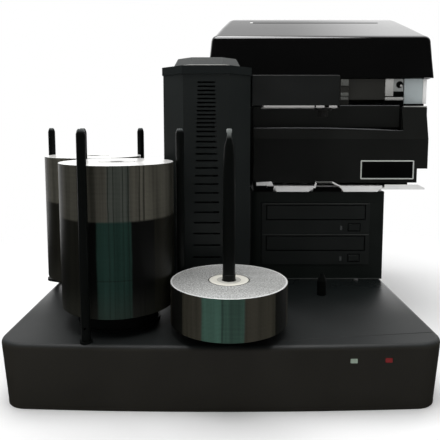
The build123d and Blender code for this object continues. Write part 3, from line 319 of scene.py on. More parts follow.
satinBlack = (0.004, 0.005, 0.0045)
finishes = {
    "plated_steel": brushed("platedSheet", roughness=0.42),
    "drive_case": brushed("lightMetalCase", dark=(0.5, 0.51, 0.52), light=(0.64, 0.65, 0.66)),
    "rubber": moulded("softRubber", dark=(0.012, 0.012, 0.012), light=(0.03, 0.03, 0.03), roughness=0.85),
    "black_screws": brushed(
        "blackenedScrew", dark=(0.06, 0.06, 0.06), light=(0.16, 0.16, 0.16), metallic=0.3,
    ),
    "black_plastic": moulded("mouldedBlack", roughness=0.45),
    "circuit_board": moulded(
        "greenLaminate", dark=(0.01, 0.09, 0.04), light=(0.03, 0.2, 0.09), grainSize=3.0, roughness=0.35,
    ),
    "motor_steel": brushed(
        "motorCase", dark=(0.03, 0.03, 0.035), light=(0.09, 0.09, 0.1), stretch=(1.0, 1.0, 0.05),
    ),
    "belt_rubber": moulded("beltRubber", roughness=0.8, grainSize=2.0),
    "bearing_plastic": moulded(
        "bearingPlastic", dark=(0.6, 0.58, 0.52), light=(0.74, 0.72, 0.66), roughness=0.4,
    ),
    "machined_aluminium": brushed(
        "machinedMetal", dark=(0.55, 0.56, 0.57), light=(0.72, 0.73, 0.74), roughness=0.3,
    ),
    "tower_black": moulded(
        "towerSatin", dark=(0.0085, 0.0108, 0.0104), light=(0.0150, 0.0184, 0.0178),
        grainSize=0.7, grainDepth=0.05, roughness=0.42, specular=0.35,
    ),
    "polished_steel": brushed(
        "groundRod", dark=(0.6, 0.6, 0.61), light=(0.75, 0.75, 0.76), roughness=0.18, stretch=(1.0, 1.0, 0.1),
    ),
    "dark_aluminium": brushed(
        "blackCasting", dark=(0.02, 0.02, 0.022), light=(0.05, 0.05, 0.055), roughness=0.5,
    ),
    "arm_black": moulded(
        "armSatin", dark=(0.0085, 0.0095, 0.0090), light=(0.0140, 0.0155, 0.0150),
        roughness=0.48, specular=0.3,
    ),
    "bright_plate": brushed(
        "brightEdge", dark=(0.40, 0.39, 0.38), light=(0.52, 0.51, 0.50), roughness=0.4, metallic=0.1,
    ),
    "drive_black": moulded(
        "driveFront", dark=(0.0100, 0.0120, 0.0113), light=(0.0160, 0.0188, 0.0175),
        roughness=0.4, specular=0.35,
    ),
    "white_plastic": moulded(
        "whiteMoulding", dark=(0.76, 0.76, 0.75), light=(0.88, 0.88, 0.87), roughness=0.4, grainDepth=0.03,
    ),
    "printer_black": moulded(
        "casingSatin", dark=(0.0072, 0.0078, 0.0070), light=(0.0120, 0.0130, 0.0117),
        roughness=0.36, specular=0.35,
    ),
    "badge_frame": brushed("badgeMetal", dark=(0.50, 0.52, 0.49), light=(0.62, 0.64, 0.61), metallic=0.1),
    "silver_frame": moulded(
        "silverFrame", dark=(0.36, 0.41, 0.42), light=(0.46, 0.51, 0.52), roughness=0.4, grainDepth=0.02,
    ),
    "gloss_black": moulded(
        "lidGloss", dark=(0.0012, 0.0012, 0.0012), light=(0.0024, 0.0024, 0.0024), grainSize=3.0,
        grainDepth=0.004, roughness=0.12, roughnessSpread=0.06, specular=0.5, coat=1.0, coatRoughness=0.04,
    ),
    "status_lens": glowing("statusLens", (0.21, 0.26, 0.21), 0.4),
    "power_lens": glowing("powerLens", (0.16, 0.013, 0.014), 0.35),
    "lamp_lens": glowing("driveLamp", (0.07, 0.075, 0.075), 0.1),
    "ribbon_film": ribbonFilm(),
    "post_black": tipped("postSatin", (203.0, 206.0), satinBlack, (0.10, 0.11, 0.11)),
}
# A darker copy of the moulded black for the platforms and the spindle's base: painted shade under the stacks
shadedPlatformBlack = moulded(
    "shadedPlatformBlack", dark=(0.0020, 0.0026, 0.0026), light=(0.0040, 0.0048, 0.0048), specular=0.12,
)
nodeFinishes = {  # nodes that look unlike the rest of their slot
    "spindle_rod": tipped("spindleSatin", (196.0, 205.0), satinBlack, (0.26, 0.28, 0.27)),
    "drop_post": tipped("dropPostSatin", (90.0, 99.0), satinBlack, (0.10, 0.10, 0.10)),
    "base_shell": cabinetPaint(),
    "tower_cap": tipped("capSatin", (279.6, 280.2), (0.015, 0.018, 0.018), (0.108, 0.113, 0.111)),
    "drive_tower_shell": moulded(
        "driveShellTexture", dark=(0.0060, 0.0085, 0.0072), light=(0.0110, 0.0150, 0.0130),
        grainSize=1.1, specular=0.25,
    ),
    "front_bin_platform": shadedPlatformBlack,
    "back_bin_platform": shadedPlatformBlack,
    "spindle_base": shadedPlatformBlack,
}

for name, node in nodes.items():
    finish = nodeFinishes.get(name) or finishes.get(slotOfNode[name])
    if finish:
        node.data.materials.clear()
        node.data.materials.append(finish)
print("finishes put on", len(nodes), "nodes")

# Materials of the small pieces that only this script adds
palePlastic = moulded("paleGuide", dark=(0.34, 0.34, 0.33), light=(0.44, 0.44, 0.42), roughness=0.45)
greyTab = moulded("greyTab", dark=(0.085, 0.088, 0.080), light=(0.125, 0.130, 0.120))
midGrey = moulded("holderGrey", dark=(0.24, 0.25, 0.245), light=(0.34, 0.35, 0.34))
# painted highlight for the printer's lip and the flap's top edge
edgeHighlightGrey = moulded("paintedEdgeHighlight", dark=(0.06, 0.062, 0.064), light=(0.11, 0.113, 0.118), cloudSize=25.0)
# painted highlight for the drives' upper edges and foot line
driveEdgeHighlight = moulded("paintedDriveHighlight", dark=(0.045, 0.049, 0.046), light=(0.080, 0.085, 0.080), cloudSize=30.0)
deepBlack = moulded(
    "deepBlack", dark=(0.0012, 0.0013, 0.0013), light=(0.0024, 0.0026, 0.0026), roughness=0.6, specular=0.08,
)
filmFace = moulded(
    "filmFace", dark=(0.024, 0.024, 0.021), light=(0.034, 0.034, 0.030),
    cloudSize=22.0, grainSize=0.5, roughness=0.4, specular=0.25,
)


# Making pieces
def addPiece(name, mesh, body, material, replaced=(), sharp=35.0):
    mesh.materials.append(material)
    for face in mesh.polygons:
        face.use_smooth = True
    mesh.set_sharp_from_angle(angle=math.radians(sharp))
    piece = bpy.data.objects.new(name, mesh)
    bpy.context.scene.collection.objects.link(piece)
    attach(piece, body)
    if replaced:
        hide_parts(*replaced)


def meshFrom(name, form):
    bmesh.ops.remove_doubles(form, verts=form.verts, dist=1e-6)
    bmesh.ops.recalc_face_normals(form, faces=form.faces)
    mesh = bpy.data.meshes.new(name)
    form.to_mesh(mesh)
    form.free()
    return mesh


def span(x, y, z):  # a block's two corners from its three ranges
    return tuple(zip(x, y, z))


def addBlock(form, low, high, edge, place):  # a block with broken edges
    corners = [(x, y, z) for z in (low[2], high[2]) for y in (low[1], high[1]) for x in (low[0], high[0])]
    verts = [form.verts.new(place(*corner)) for corner in corners]
    sides = [
        form.faces.new([verts[number] for number in loop])
        for loop in ((0, 2, 3, 1), (4, 5, 7, 6), (0, 1, 5, 4), (2, 6, 7, 3), (0, 4, 6, 2), (1, 3, 7, 5))
    ]
    edges = list({side for face in sides for side in face.edges})
    if edge > 0:
        bmesh.ops.bevel(form, geom=edges, offset=edge / 1000, segments=2, profile=0.5, affect="EDGES")


def blockPiece(name, blocks, body, material, edge=0.5, place=at):
    form = bmesh.new()
    for low, high in blocks:
        addBlock(form, low, high, edge, place)
    addPiece(name, meshFrom(name, form), body, material)


def ringRound(form, axis, centre, radius, steps):  # a round ring of corners
    ring = []
    for step in range(steps):
        turn = 2 * math.pi * step / steps
        side, rise = radius * math.cos(turn), radius * math.sin(turn)
        shift = {"x": (0, side, rise), "y": (side, 0, rise), "z": (side, rise, 0)}[axis]
        ring.append(form.verts.new(at(*(middle + part for middle, part in zip(centre, shift)))))
    return ring


def bridge(form, rings, closed=True):
    pairs = list(zip(rings, rings[1:])) + ([(rings[-1], rings[0])] if closed else [])
    for low, high in pairs:
        for step in range(len(low)):
            after = (step + 1) % len(low)
            form.faces.new((low[step], low[after], high[after], high[step]))


def bridgeAndCap(form, rings):
    bridge(form, rings, closed=False)
    form.faces.new(rings[0])
    form.faces.new(rings[-1])


def turned(name, centre, profile, steps):  # turned about an upright line, from a profile of (radius, height)
    form = bmesh.new()
    bridge(form, [ringRound(form, "z", (*centre, height), radius, steps) for radius, height in profile])
    return meshFrom(name, form)


def bead(name, points, radius, material, steps=10):  # a thin bead on the printer, along a run of points
    form = bmesh.new()
    bridgeAndCap(form, [ringRound(form, "x", point, radius, steps) for point in points])
    addPiece(name, meshFrom(name, form), "base", material)


# Stacks of discs: every disc has its own rounded edge, and the top one its face
disc = {
    "radius": 60.0,
    "hole": 7.5,
    "thickness": 1.2,
    "groove": 0.16,
    "rim": 0.35,
    "rimDrop": 0.3,
    "ringRadius": 17.0,
    "ringHalfWidth": 0.7,
    "ringHeight": 0.2,
    "steps": 72,
}
edgeLook = {
    "jointBelow": 0.3,  # shares of one disc's thickness
    "jointAbove": 0.86,
    "bandBlur": 0.01,
    "seamHeights": (58.1, 59.3),  # a dark line where one batch of discs meets the next
    "sheenHeights": (115.5, 118.5),  # above these the edges are paler, a painted reflection of the ceiling
    # painted light: below these heights the edges turn paler towards the foot
    "footHeights": (20.0, 55.0),
    "footColour": (0.040, 0.040, 0.032),
    # painted shade at the left and right sides of a stack
    "besideColour": (0.0015, 0.002, 0.0022),
    "lineColour": (0.003, 0.003, 0.0025),
    "upperSheenPanel": ((0.007, 0.007, 0.005), (0.092, 0.088, 0.070)),
    "upperReflectionBand": ((0.012, 0.018, 0.014), (0.080, 0.086, 0.074)),
}
# Painted reflections round a stack, bands of light, dark sides and dark lines, are shares of a period in
# degrees, which starts half a period before its middle
bulkEdges = {
    "middle": -82.8,
    "period": 120.0,
    # painted reflections and shade: bands of light, dark sides and dark lines at fixed angles round the stack
    "lowReflectionBand": (0.365, 0.635),
    "highReflectionBand": (0.455, 0.626),
    "beside": [(0.30, 0.365), (0.635, 0.84)],
    "lines": [
        (0.458, 0.467), (0.50, 0.506), (0.572, 0.578), (0.611, 0.62), (0.70, 0.71), (0.735, 0.75),
    ],
    "footLight": 0.25,
    "panelColours": ((0.0025, 0.0030, 0.0022), (0.014, 0.013, 0.009)),
    "reflectionBandColours": ((0.004, 0.016, 0.012), (0.014, 0.042, 0.033)),
}
finishedEdges = {
    "middle": -96.6,
    "period": 120.0,
    # painted reflections and shade: bands of light, dark sides and dark lines at fixed angles round the stack
    "lowReflectionBand": (0.337, 0.663),
    "highReflectionBand": (0.337, 0.663),
    "beside": [(-0.01, 0.145), (0.946, 1.01)],
    "lines": [(0.49, 0.505)],
    "footLight": 0.0,
    "panelColours": ((0.018, 0.017, 0.012), (0.050, 0.046, 0.034)),
    "reflectionBandColours": ((0.018, 0.036, 0.028), (0.055, 0.125, 0.095)),
}
plainFace = {
    "coarse": False,
    "coating": ((0.70, 0.69, 0.67), (0.86, 0.85, 0.83)),
    "hub": (0.56, 0.56, 0.54),
    "hubEdge": 19.0,
    "roughnessSpread": 0.05,
}
coatedFace = {
    "coarse": True,
    "coating": ((0.27, 0.27, 0.26), (0.80, 0.81, 0.80)),
    "hub": (0.84, 0.82, 0.74),
    "hubEdge": 21.0,
    "roughnessSpread": 0.2,
}
faceLook = {
    "innerHub": 12.0,
    "innerHubColour": (0.30, 0.31, 0.31),
    "hubLine": (-0.7, 0.5),
    "innerLine": (11.7, 12.3),
    "lineColour": (0.05, 0.05, 0.045),
    "brightRim": 2.0,
    "rimColour": (0.84, 0.85, 0.84),
}
bulkStack = {"slot": "disc_media", "foot": 20.4, "count": 126, "edges": bulkEdges, "face": plainFace}
stacks = {
    "frontDiscs": {"node": "front_disc_stack", "body": "front_discs", **bulkStack},
    "backDiscs": {"node": "back_disc_stack", "body": "back_discs", **bulkStack},
    "finishedDiscs": {
        "node": "output_disc_stack", "body": "output_discs", "slot": "printed_media",
        "foot": 10.2, "count": 35, "edges": finishedEdges, "face": coatedFace,
    },
}


def edgeColour(paint, edges, height, turn, joint):  # brown-grey, with painted reflections: upright bands of light and dark lines, green lower down, painted shade at the sides, paler above and at the foot
    look = edgeLook
    wobble = paint.noise(60.0, detail=2.0, stretch=(1.0, 1.0, 0.4))
    share = ((turn - edges["middle"] + 360 + (wobble - 0.5) * 2) / edges["period"] + 0.5) % 1.0
    blur = look["bandBlur"]
    # painted reflections: the bands of light; painted shade: the dark sides and dark lines
    lowReflectionMask, highReflectionMask = [
        share.ease(low - blur, low + blur) - share.ease(high - blur, high + blur)
        for low, high in (edges["lowReflectionBand"], edges["highReflectionBand"])
    ]
    lines = sum(share.between(low, high) for low, high in edges["lines"])
    beside = sum(share.between(low, high) for low, high in edges["beside"])
    streak = paint.noise(34.0, stretch=(1.0, 1.0, 0.03))
    batch = paint.noise(420.0, detail=4.0, stretch=(0.01, 0.01, 1.0))
    fineStreak = paint.noise(190.0, stretch=(1.0, 1.0, 0.02))
    tone = streak.ease(0.35, 0.68) * 0.45 + fineStreak.ease(0.32, 0.66) * 0.3 + batch * 0.25
    lowPanel = paint.blend(beside * 0.85, paint.blend(tone, *edges["panelColours"]), look["besideColour"])
    lower = paint.blend(lowReflectionMask, lowPanel, paint.blend(tone, *edges["reflectionBandColours"]))
    upperSheenPanel = paint.blend(tone, *look["upperSheenPanel"])
    upper = paint.blend(highReflectionMask, upperSheenPanel, paint.blend(tone, *look["upperReflectionBand"]))
    footLight = edges["footLight"] * (1.0 - height.ease(*look["footHeights"]))
    # painted reflection: the edges paler higher up
    isUpperSheen = height.ease(*look["sheenHeights"])
    colour = paint.blend(isUpperSheen, paint.blend(footLight, lower, look["footColour"]), upper)
    seam = height.between(*look["seamHeights"])
    dark = joint * 0.5 + lines * (0.32 + isUpperSheen * 0.25) + seam * 0.4
    return paint.blend(dark.atMost(0.85), colour, look["lineColour"])


def faceColour(paint, face, reach, sparkle):  # a clear hub, a dark ring line and the coated face
    look = faceLook
    swirl = paint.noise(55.0, stretch=(0.10, 1.0, 1.0))
    if face["coarse"]:
        grains = sparkle.ease(0.36, 0.64) * 0.75 + swirl.ease(0.35, 0.65) * 0.25
    else:
        grains = sparkle * 0.4 + swirl * 0.6
    hubEdge = face["hubEdge"]
    colour = paint.blend(reach.above(hubEdge), face["hub"], paint.blend(grains, *face["coating"]))
    colour = paint.blend(reach.below(look["innerHub"]) * 0.45, colour, look["innerHubColour"])
    hubLine = reach.between(*(hubEdge + shift for shift in look["hubLine"]))
    ringLine = hubLine * 0.95 + reach.between(*look["innerLine"]) * 0.4
    colour = paint.blend(ringLine, colour, look["lineColour"])
    return paint.blend(reach.above(disc["radius"] - look["brightRim"]), colour, look["rimColour"])


def discMaterial(name, stack):
    paint = Paint(name)
    x, y, z = paint.axes()
    centre = at(*middleOf(stack["node"]), 0)
    top = at(0, 0, stack["foot"] + stack["count"] * disc["thickness"])[2]
    across = (x - centre[0]) * 1000
    away = (y - centre[1]) * 1000
    height = z * 1000 - machine["deckHeight"]
    reach = paint.reach(paint.add("ShaderNodeCombineXYZ", {}, {0: across, 1: away, 2: 0.0}))
    turn = across.maths("ARCTAN2", away, across) * (180 / math.pi)
    layer = ((height - stack["foot"]) / disc["thickness"]) % 1.0
    joint = 1.0 - layer.ease(0.0, edgeLook["jointBelow"]) + layer.ease(edgeLook["jointAbove"], 1.0)
    sparkle = paint.noise(640.0, detail=4.0)
    face = stack["face"]
    onFace = z.above(top - disc["rimDrop"] / 1000) * reach.below(disc["radius"] - disc["groove"])
    edge = edgeColour(paint, stack["edges"], height, turn, joint)
    values = {
        "Base Color": paint.blend(onFace, edge, faceColour(paint, face, reach, sparkle)),
        "Roughness": 0.34 + onFace * (sparkle * face["roughnessSpread"]),
        "Metallic": onFace * reach.above(face["hubEdge"]) * 0.3,
        "Coat Weight": onFace * 0.4,
        "Coat Roughness": 0.08,
        "Specular IOR Level": 0.15,
    }
    return paint.finish(values, [(joint, 0.25, 0.1), (sparkle, 0.1, 0.02)])


def stackProfile(foot, count):  # up the edge of every disc, over the top face and down the hole
    profile = []
    for number in range(count):
        low = foot + number * disc["thickness"]
        profile += [(disc["radius"] - disc["groove"], low), (disc["radius"], low + disc["thickness"] / 2)]
    top = foot + count * disc["thickness"]
    return profile + [
        (disc["radius"], top - disc["rimDrop"]),
        (disc["radius"] - disc["rim"], top),
        (disc["ringRadius"] + disc["ringHalfWidth"], top),
        (disc["ringRadius"], top + disc["ringHeight"]),
        (disc["ringRadius"] - disc["ringHalfWidth"], top),
        (disc["hole"] + disc["rimDrop"], top),
        (disc["hole"], top - disc["rimDrop"]),
        (disc["hole"], foot),
    ]


for name, stack in stacks.items():
    mesh = turned(name, middleOf(stack["node"]), stackProfile(stack["foot"], stack["count"]), disc["steps"])
    plastic = discMaterial(name + "Polycarbonate", stack)
    addPiece(name, mesh, stack["body"], plastic, replaced=[stack["node"]])
print("discs stacked")

# Spindle of the finished stack: nearly straight, then a short cone and a thin tip
spindle = {
    "steps": 40,
    "profile": [
        (0.2, 4.4), (3.0, 4.4), (3.0, 10.2), (6.8, 10.2), (6.8, 58.2), (6.4, 58.5), (6.4, 150.0),
        (6.0, 168.0), (5.5, 182.0), (4.9, 189.0), (4.4, 191.6), (2.7, 197.2), (2.3, 199.0),
        (2.3, 202.2), (2.8, 203.2), (2.8, 205.8), (2.2, 206.7), (0.2, 206.7),
    ],
}
spindleMesh = turned("discSpindle", middleOf("spindle_rod"), spindle["profile"], spindle["steps"])
spindleFinish = nodeFinishes["spindle_rod"]
addPiece("discSpindle", spindleMesh, "base", spindleFinish, replaced=["spindle_rod"])
print("spindle turned")

# Lid of the printer: a drafted wall, a round shoulder and a long slope up to the flat top
lid = {
    "left": -19.0,
    "right": 299.0,
    "front": 256.0,
    "rear": 525.0,
    "rows": [  # height, then how far the side, the front and the rear are drawn in
        (276.0, 0.0, 0.0, 0.0),
        (277.0, -0.2, -0.2, -0.2),
        (302.0, 2.7, 0.7, 0.7),
        (327.0, 5.3, 1.5, 1.5),
        (330.0, 5.9, 2.1, 2.0),
        (332.4, 7.0, 3.4, 3.2),
        (334.2, 8.4, 5.6, 4.8),
        (335.6, 9.8, 8.4, 6.6),
        (352.0, 19.2, 42.5, 23.0),
        (368.5, 29.6, 76.6, 38.8),
        (371.8, 32.2, 84.4, 42.5),
        (373.9, 35.2, 91.0, 46.0),
        (374.8, 38.8, 98.0, 50.0),
        (375.0, 43.0, 106.0, 54.0),
    ],
    "wall": 3.0,
    "dropFrom": 280.0,  # above this height the inside lies a wall's thickness lower
    "corner": 8.0,
    "cornerSteps": 7,
}
hinge = {
    "y": 510.0,
    "z": 283.0,
    "bore": 3.05,
    "lug": 7.0,
    "lugs": [(lid["left"] + 2.0, 3.5), (286.5, lid["right"] - 2.0)],
    "steps": 32,
}
recess = {
    "left": 47.0,
    "right": 236.0,
    "y": 322.9,
    "z": 363.8,
    "halfWidth": 1.2,
    "slope": math.atan2(39.7, 82.0),  # rise and run of the lid's front
}


def roundCorners(corners, radius, steps):  # quarter arcs round the corners' middles, from their start angles
    points = []
    for x, y, start in corners:
        for step in steps:
            turn = math.radians(start + 90 * step / steps[-1])
            points.append((x + radius * math.cos(turn), y + radius * math.sin(turn)))
    return points


def lidRings(form, wall):
    rings = []
    for z, side, front, rear in lid["rows"]:
        drop = wall if z > lid["dropFrom"] else 0.0
        left, right = lid["left"] + side + wall, lid["right"] - side - wall
        low, high = lid["front"] + front + wall, lid["rear"] - rear - wall
        corner = lid["corner"]
        corners = (
            (right - corner, high - corner, 0), (left + corner, high - corner, 90),
            (left + corner, low + corner, 180), (right - corner, low + corner, 270),
        )
        loop = roundCorners(corners, corner, range(lid["cornerSteps"] + 1))
        rings.append([form.verts.new(at(x, y, z - drop)) for x, y in loop])
    return rings


form = bmesh.new()
outer = lidRings(form, 0.0)
inner = lidRings(form, lid["wall"])
bridge(form, outer, closed=False)
bridge(form, inner, closed=False)
bridge(form, [outer[0], inner[0]], closed=False)
form.faces.new(outer[-1])
form.faces.new(inner[-1])
for low, high in hinge["lugs"]:
    tube = ((hinge["bore"], low), (hinge["lug"], low), (hinge["lug"], high), (hinge["bore"], high))
    bridge(form, [
        ringRound(form, "x", (x, hinge["y"], hinge["z"]), radius, hinge["steps"]) for radius, x in tube
    ])
lidMesh = meshFrom("lidShell", form)
addPiece("lidShell", lidMesh, "lid", finishes["gloss_black"], replaced=["printer_lid"])


def onSlope(x, along, lift):  # a place on the lid's front slope, along it from the recess
    run, rise = math.cos(recess["slope"]), math.sin(recess["slope"])
    return at(x, recess["y"] + along * run - lift * rise, recess["z"] + along * rise + lift * run)


half = recess["halfWidth"]
# painted shade: a dark bar in the lid's finger recess
groove = span(x=(recess["left"], recess["right"]), y=(-half, half), z=(-0.4, 0.25))
blockPiece("lidRecessShade", [groove], "lid", finishes["rubber"], edge=0.2, place=onSlope)
# painted highlight: a white dot at the recess's left end
recessHighlight = span(x=(recess["left"] - 3.0, recess["left"] + 1.0), y=(-2.0, 2.0), z=(-0.4, 0.5))
blockPiece("lidRecessHighlight", [recessHighlight], "lid", finishes["white_plastic"], edge=0.3, place=onSlope)
print("lid shaped")

# Front of the printer: a pale bead along the lip of a cover that leans back, and another along the flap's top
# edge, both painted highlights
chin = {
    "lip": [(44.0, 206.5), (90.0, 207.2), (145.0, 206.9), (200.0, 205.4), (245.6, 203.0)],
    "footY": 223.1,
    "footZ": 192.0,
    "lean": 3 / 11,
    "drop": 0.6,
    "radius": 0.9,
}
flap = {"reach": (60.0, 150.0, 242.4), "y": 235.6, "z": 237.0, "radius": 0.5}
lip = [
    (x, chin["footY"] + (z - chin["footZ"]) * chin["lean"], z - chin["drop"]) for x, z in chin["lip"]
]
# painted highlights: pale beads on the lip and on the flap's edge
bead("chinLip", lip, chin["radius"], edgeHighlightGrey)
bead("flapEdge", [(x, flap["y"], flap["z"]) for x in flap["reach"]], flap["radius"], edgeHighlightGrey)

# Ribbon bay: what shows between the lid and the flap
bay = {
    "front": 257.0,
    "rear": 261.6,
    "foot": 237.5,
    "top": 275.0,
    "tabs": [(265.4, 274.6), (250.3, 255.9), (245.4, 249.5)],
    "tabSides": (167.5, 178.6),
    "stripSides": (230.1, 241.3),
    "holderRight": 255.7,
    "barHeights": (245.4, 249.5),
    "blockHeights": (251.0, 257.4),
    "backHeights": (237.5, 246.4),
    "coverFoot": 235.0,
    "coverTop": 237.4,
    "frameFoot": 240.6,
    "frameRight": 289.4,
}
film = {"sides": (178.6, 230.6), "foot": 246.3, "front": 1.6, "belly": 0.9, "thickness": 0.4, "rows": 8}
knob = {  # profiles give a radius and how far back from the machine's front
    "x": 250.3,
    "z": 267.1,
    "profile": [(3.7, 257.2), (4.7, 257.9), (4.7, 261.6), (2.0, 267.6)],
    "capX": 251.9,
    "capZ": 265.3,
    "capProfile": [(0.6, 256.4), (1.7, 256.8), (1.7, 257.6), (1.0, 258.5)],
    "steps": 24,
}
near, far = bay["front"], bay["rear"]
tabLeft, tabRight = bay["tabSides"]
stripLeft, stripRight = bay["stripSides"]
blockFoot, blockTop = bay["blockHeights"]

post = span(x=(tabLeft, tabRight + 1), y=(near + 1, far), z=(bay["foot"], bay["top"] - 0.4))
blockPiece("guidePost", [post], "base", filmFace)
tabs = [span(x=bay["tabSides"], y=(near, near + 1.4), z=heights) for heights in bay["tabs"]]
blockPiece("guideTabs", tabs, "base", greyTab)

form = bmesh.new()
filmRows = []
for row in range(film["rows"] + 1):  # the film hangs with a slight belly
    share = row / film["rows"]
    y = near + film["front"] + film["belly"] * math.sin(math.pi * share)
    z = film["foot"] + share * (bay["top"] - film["foot"])
    left, right = film["sides"]
    corners = ((left, 0.0), (right, 0.0), (right, film["thickness"]), (left, film["thickness"]))
    filmRows.append([form.verts.new(at(x, y + back, z)) for x, back in corners])
bridgeAndCap(form, filmRows)
addPiece("ribbonWeb", meshFrom("ribbonWeb", form), "base", filmFace)

carrier = [
    span(x=bay["stripSides"], y=(near, far), z=(blockFoot, bay["top"])),
    span(x=(stripLeft, bay["holderRight"]), y=(near, far), z=bay["barHeights"]),
]
blockPiece("ribbonCarrier", carrier, "base", palePlastic)
carrierBack = span(x=(stripRight, bay["holderRight"]), y=(near + 2.0, far), z=(blockTop, bay["top"]))
blockPiece("carrierBack", [carrierBack], "base", midGrey)
carrierBlock = [
    span(x=(stripRight, bay["holderRight"]), y=(near + 0.5, far), z=bay["blockHeights"]),
    span(x=(stripLeft - 2, bay["holderRight"] + 1), y=(far - 1.5, far), z=bay["backHeights"]),
]
blockPiece("carrierBlock", carrierBlock, "base", deepBlack)

for name, x, z, profile, material in (
    ("ribbonKnob", knob["x"], knob["z"], knob["profile"], deepBlack),
    ("ribbonKnobCap", knob["capX"], knob["capZ"], knob["capProfile"], palePlastic),
):
    form = bmesh.new()
    bridgeAndCap(form, [ringRound(form, "y", (x, y, z), radius, knob["steps"]) for radius, y in profile])
    addPiece(name, meshFrom(name, form), "base", material)

frameEdge = span(x=(284.2, bay["frameRight"]), y=(261.0, 263.2), z=(bay["frameFoot"], 275.3))
blockPiece("frameEdge", [frameEdge], "base", finishes["white_plastic"])
# painted highlight: a pale strip on the top edge of the cover's right column
coverHighlight = span(x=(256.5, bay["frameRight"]), y=(256.8, 261.4), z=(bay["coverFoot"], bay["coverTop"]))
blockPiece("coverEdgeHighlight", [coverHighlight], "base", palePlastic)
shadow = span(x=(257.5, 285.5), y=(259.5, 261.4), z=(bay["coverTop"], bay["frameFoot"]))
blockPiece("coverShadow", [shadow], "base", deepBlack)
# painted shade: a black block in the gap beside the flap
flapGapShade = span(x=(243.4, 249.0), y=(236.0, 237.6), z=(204.0, 234.6))
blockPiece("flapGapShade", [flapGapShade], "base", deepBlack)
print("ribbon bay filled")

# Drive fronts: painted shade in the gaps round the tray doors and buttons, and painted highlights along their
# upper edges and foot
drives = {
    "left": 55.7,
    "width": 146.5,
    "feet": (20.7, 63.2),
    "face": 219.0,
    "door": {"x": (62.15, 195.75), "z": (19.7, 38.8)},
    "button": {"x": (173.5, 188.9), "z": (4.3, 13.7)},
    "groove": 1.0,
    "standsOut": 0.06,
    "sunk": 0.4,
    # painted highlight along the top edge of each drive front
    "highlightHeights": (41.0, 41.6),
    "highlightInset": 0.8,
}


def stripsRound(x, y, z, width):  # four strips round an opening
    left, right = x
    low, high = z
    return [
        span(x=(left - width, right + width), y=y, z=(low - width, low)),
        span(x=(left - width, right + width), y=y, z=(high, high + width)),
        span(x=(left - width, left), y=y, z=z),
        span(x=(right, right + width), y=y, z=z),
    ]


# dark strips round doors and buttons: painted shade in their gaps
doorGapShades = []
edgeHighlights = []
depth = (drives["face"] - drives["standsOut"], drives["face"] + drives["sunk"])
for foot in drives["feet"]:
    for opening in (drives["door"], drives["button"]):
        heights = tuple(foot + height for height in opening["z"])
        doorGapShades += stripsRound(opening["x"], depth, heights, drives["groove"])
    edgeHighlights.append(span(
        x=(drives["left"] + drives["highlightInset"], drives["left"] + drives["width"] - drives["highlightInset"]),
        y=(depth[0] - drives["standsOut"], depth[1]),
        z=tuple(foot + height for height in drives["highlightHeights"]),
    ))
blockPiece("driveGapShades", doorGapShades, "base", deepBlack, edge=0.0)
blockPiece("driveTopEdges", edgeHighlights, "base", driveEdgeHighlight, edge=0.05)
# painted highlight: a pale line where the drive tower meets the deck
footLine = span(x=(50.0, 220.4), y=(219.3, 220.3), z=(0.0, 0.9))
blockPiece("driveFootLine", [footLine], "base", driveEdgeHighlight, edge=0.2)
print("drive fronts grooved")

# Round the print tray: painted shade on the ends of its guide, on the side of its plate and in its finger
# notch
guide = {"left": 43.5, "foot": 121.2, "top": 126.0, "padTop": 134.9, "notch": (124.5, 163.0)}
guideY = (218.6, 219.3)
guideShades = [
    span(x=(43.8, 61.9), y=guideY, z=(guide["foot"], 129.2)),
    span(x=(43.7, 47.6), y=guideY, z=(129.0, guide["padTop"])),
    span(x=(61.9, 70.8), y=guideY, z=(guide["foot"], guide["top"] + 0.15)),
    span(x=(guide["left"], 43.95), y=(219.4, 262.0), z=(guide["foot"], guide["padTop"])),
    span(x=guide["notch"], y=guideY, z=(guide["foot"], guide["top"] + 0.15)),
    span(x=guide["notch"], y=(218.9, 232.0), z=(guide["top"] - 0.2, guide["top"] + 0.15)),
]
blockPiece("guideShade", guideShades, "base", deepBlack, edge=0.05)
endShade = span(x=(62.1, 71.0), y=(215.7, 216.3), z=(126.3, 128.8))
blockPiece("trayEndShade", [endShade], "print_tray", deepBlack, edge=0.05)
# painted shade: a grey strip over the top of the tray's white finger notch
notchRimShade = span(x=(127.6, 149.6), y=(215.75, 216.3), z=(133.3, 135.1))
blockPiece("notchRimShade", [notchRimShade], "print_tray", greyTab, edge=0.1)
print("print tray shaded")

# Arm: dark clips interrupt the bright edge of its plate
armClips = {
    "y": (-21.25, -20.45),
    "z": (231.9, 234.6),
    "places": [(132.3, 134.1), (144.6, 150.2), (160.4, 163.3)],
}
clips = [span(x=place, y=armClips["y"], z=armClips["z"]) for place in armClips["places"]]
blockPiece("armClips", clips, "arm", deepBlack, edge=0.1, place=onArm)

# Tower: a pale bead round the foot of its eight-sided cap
capBead = {
    "half": 41.8,
    "cut": 20.8,
    "z": 280.8,
    "profile": [(-1.5, 0.0), (0.0, 0.0), (0.0, 0.7), (-0.4, 1.0), (-1.5, 1.0)],  # how far out and up
}
form = bmesh.new()
beadRings = []
for outward, rise in capBead["profile"]:
    half = capBead["half"] + outward
    edge = half - capBead["cut"]
    eightCorners = (
        (half, -edge), (half, edge), (edge, half), (-edge, half),
        (-half, edge), (-half, -edge), (-edge, -half), (edge, -half),
    )
    beadRings.append([form.verts.new(onArm(*corner, capBead["z"] + rise)) for corner in eightCorners])
bridge(form, beadRings)
addPiece("capBead", meshFrom("capBead", form), "tower", palePlastic, sharp=20.0)
print("tower dressed")

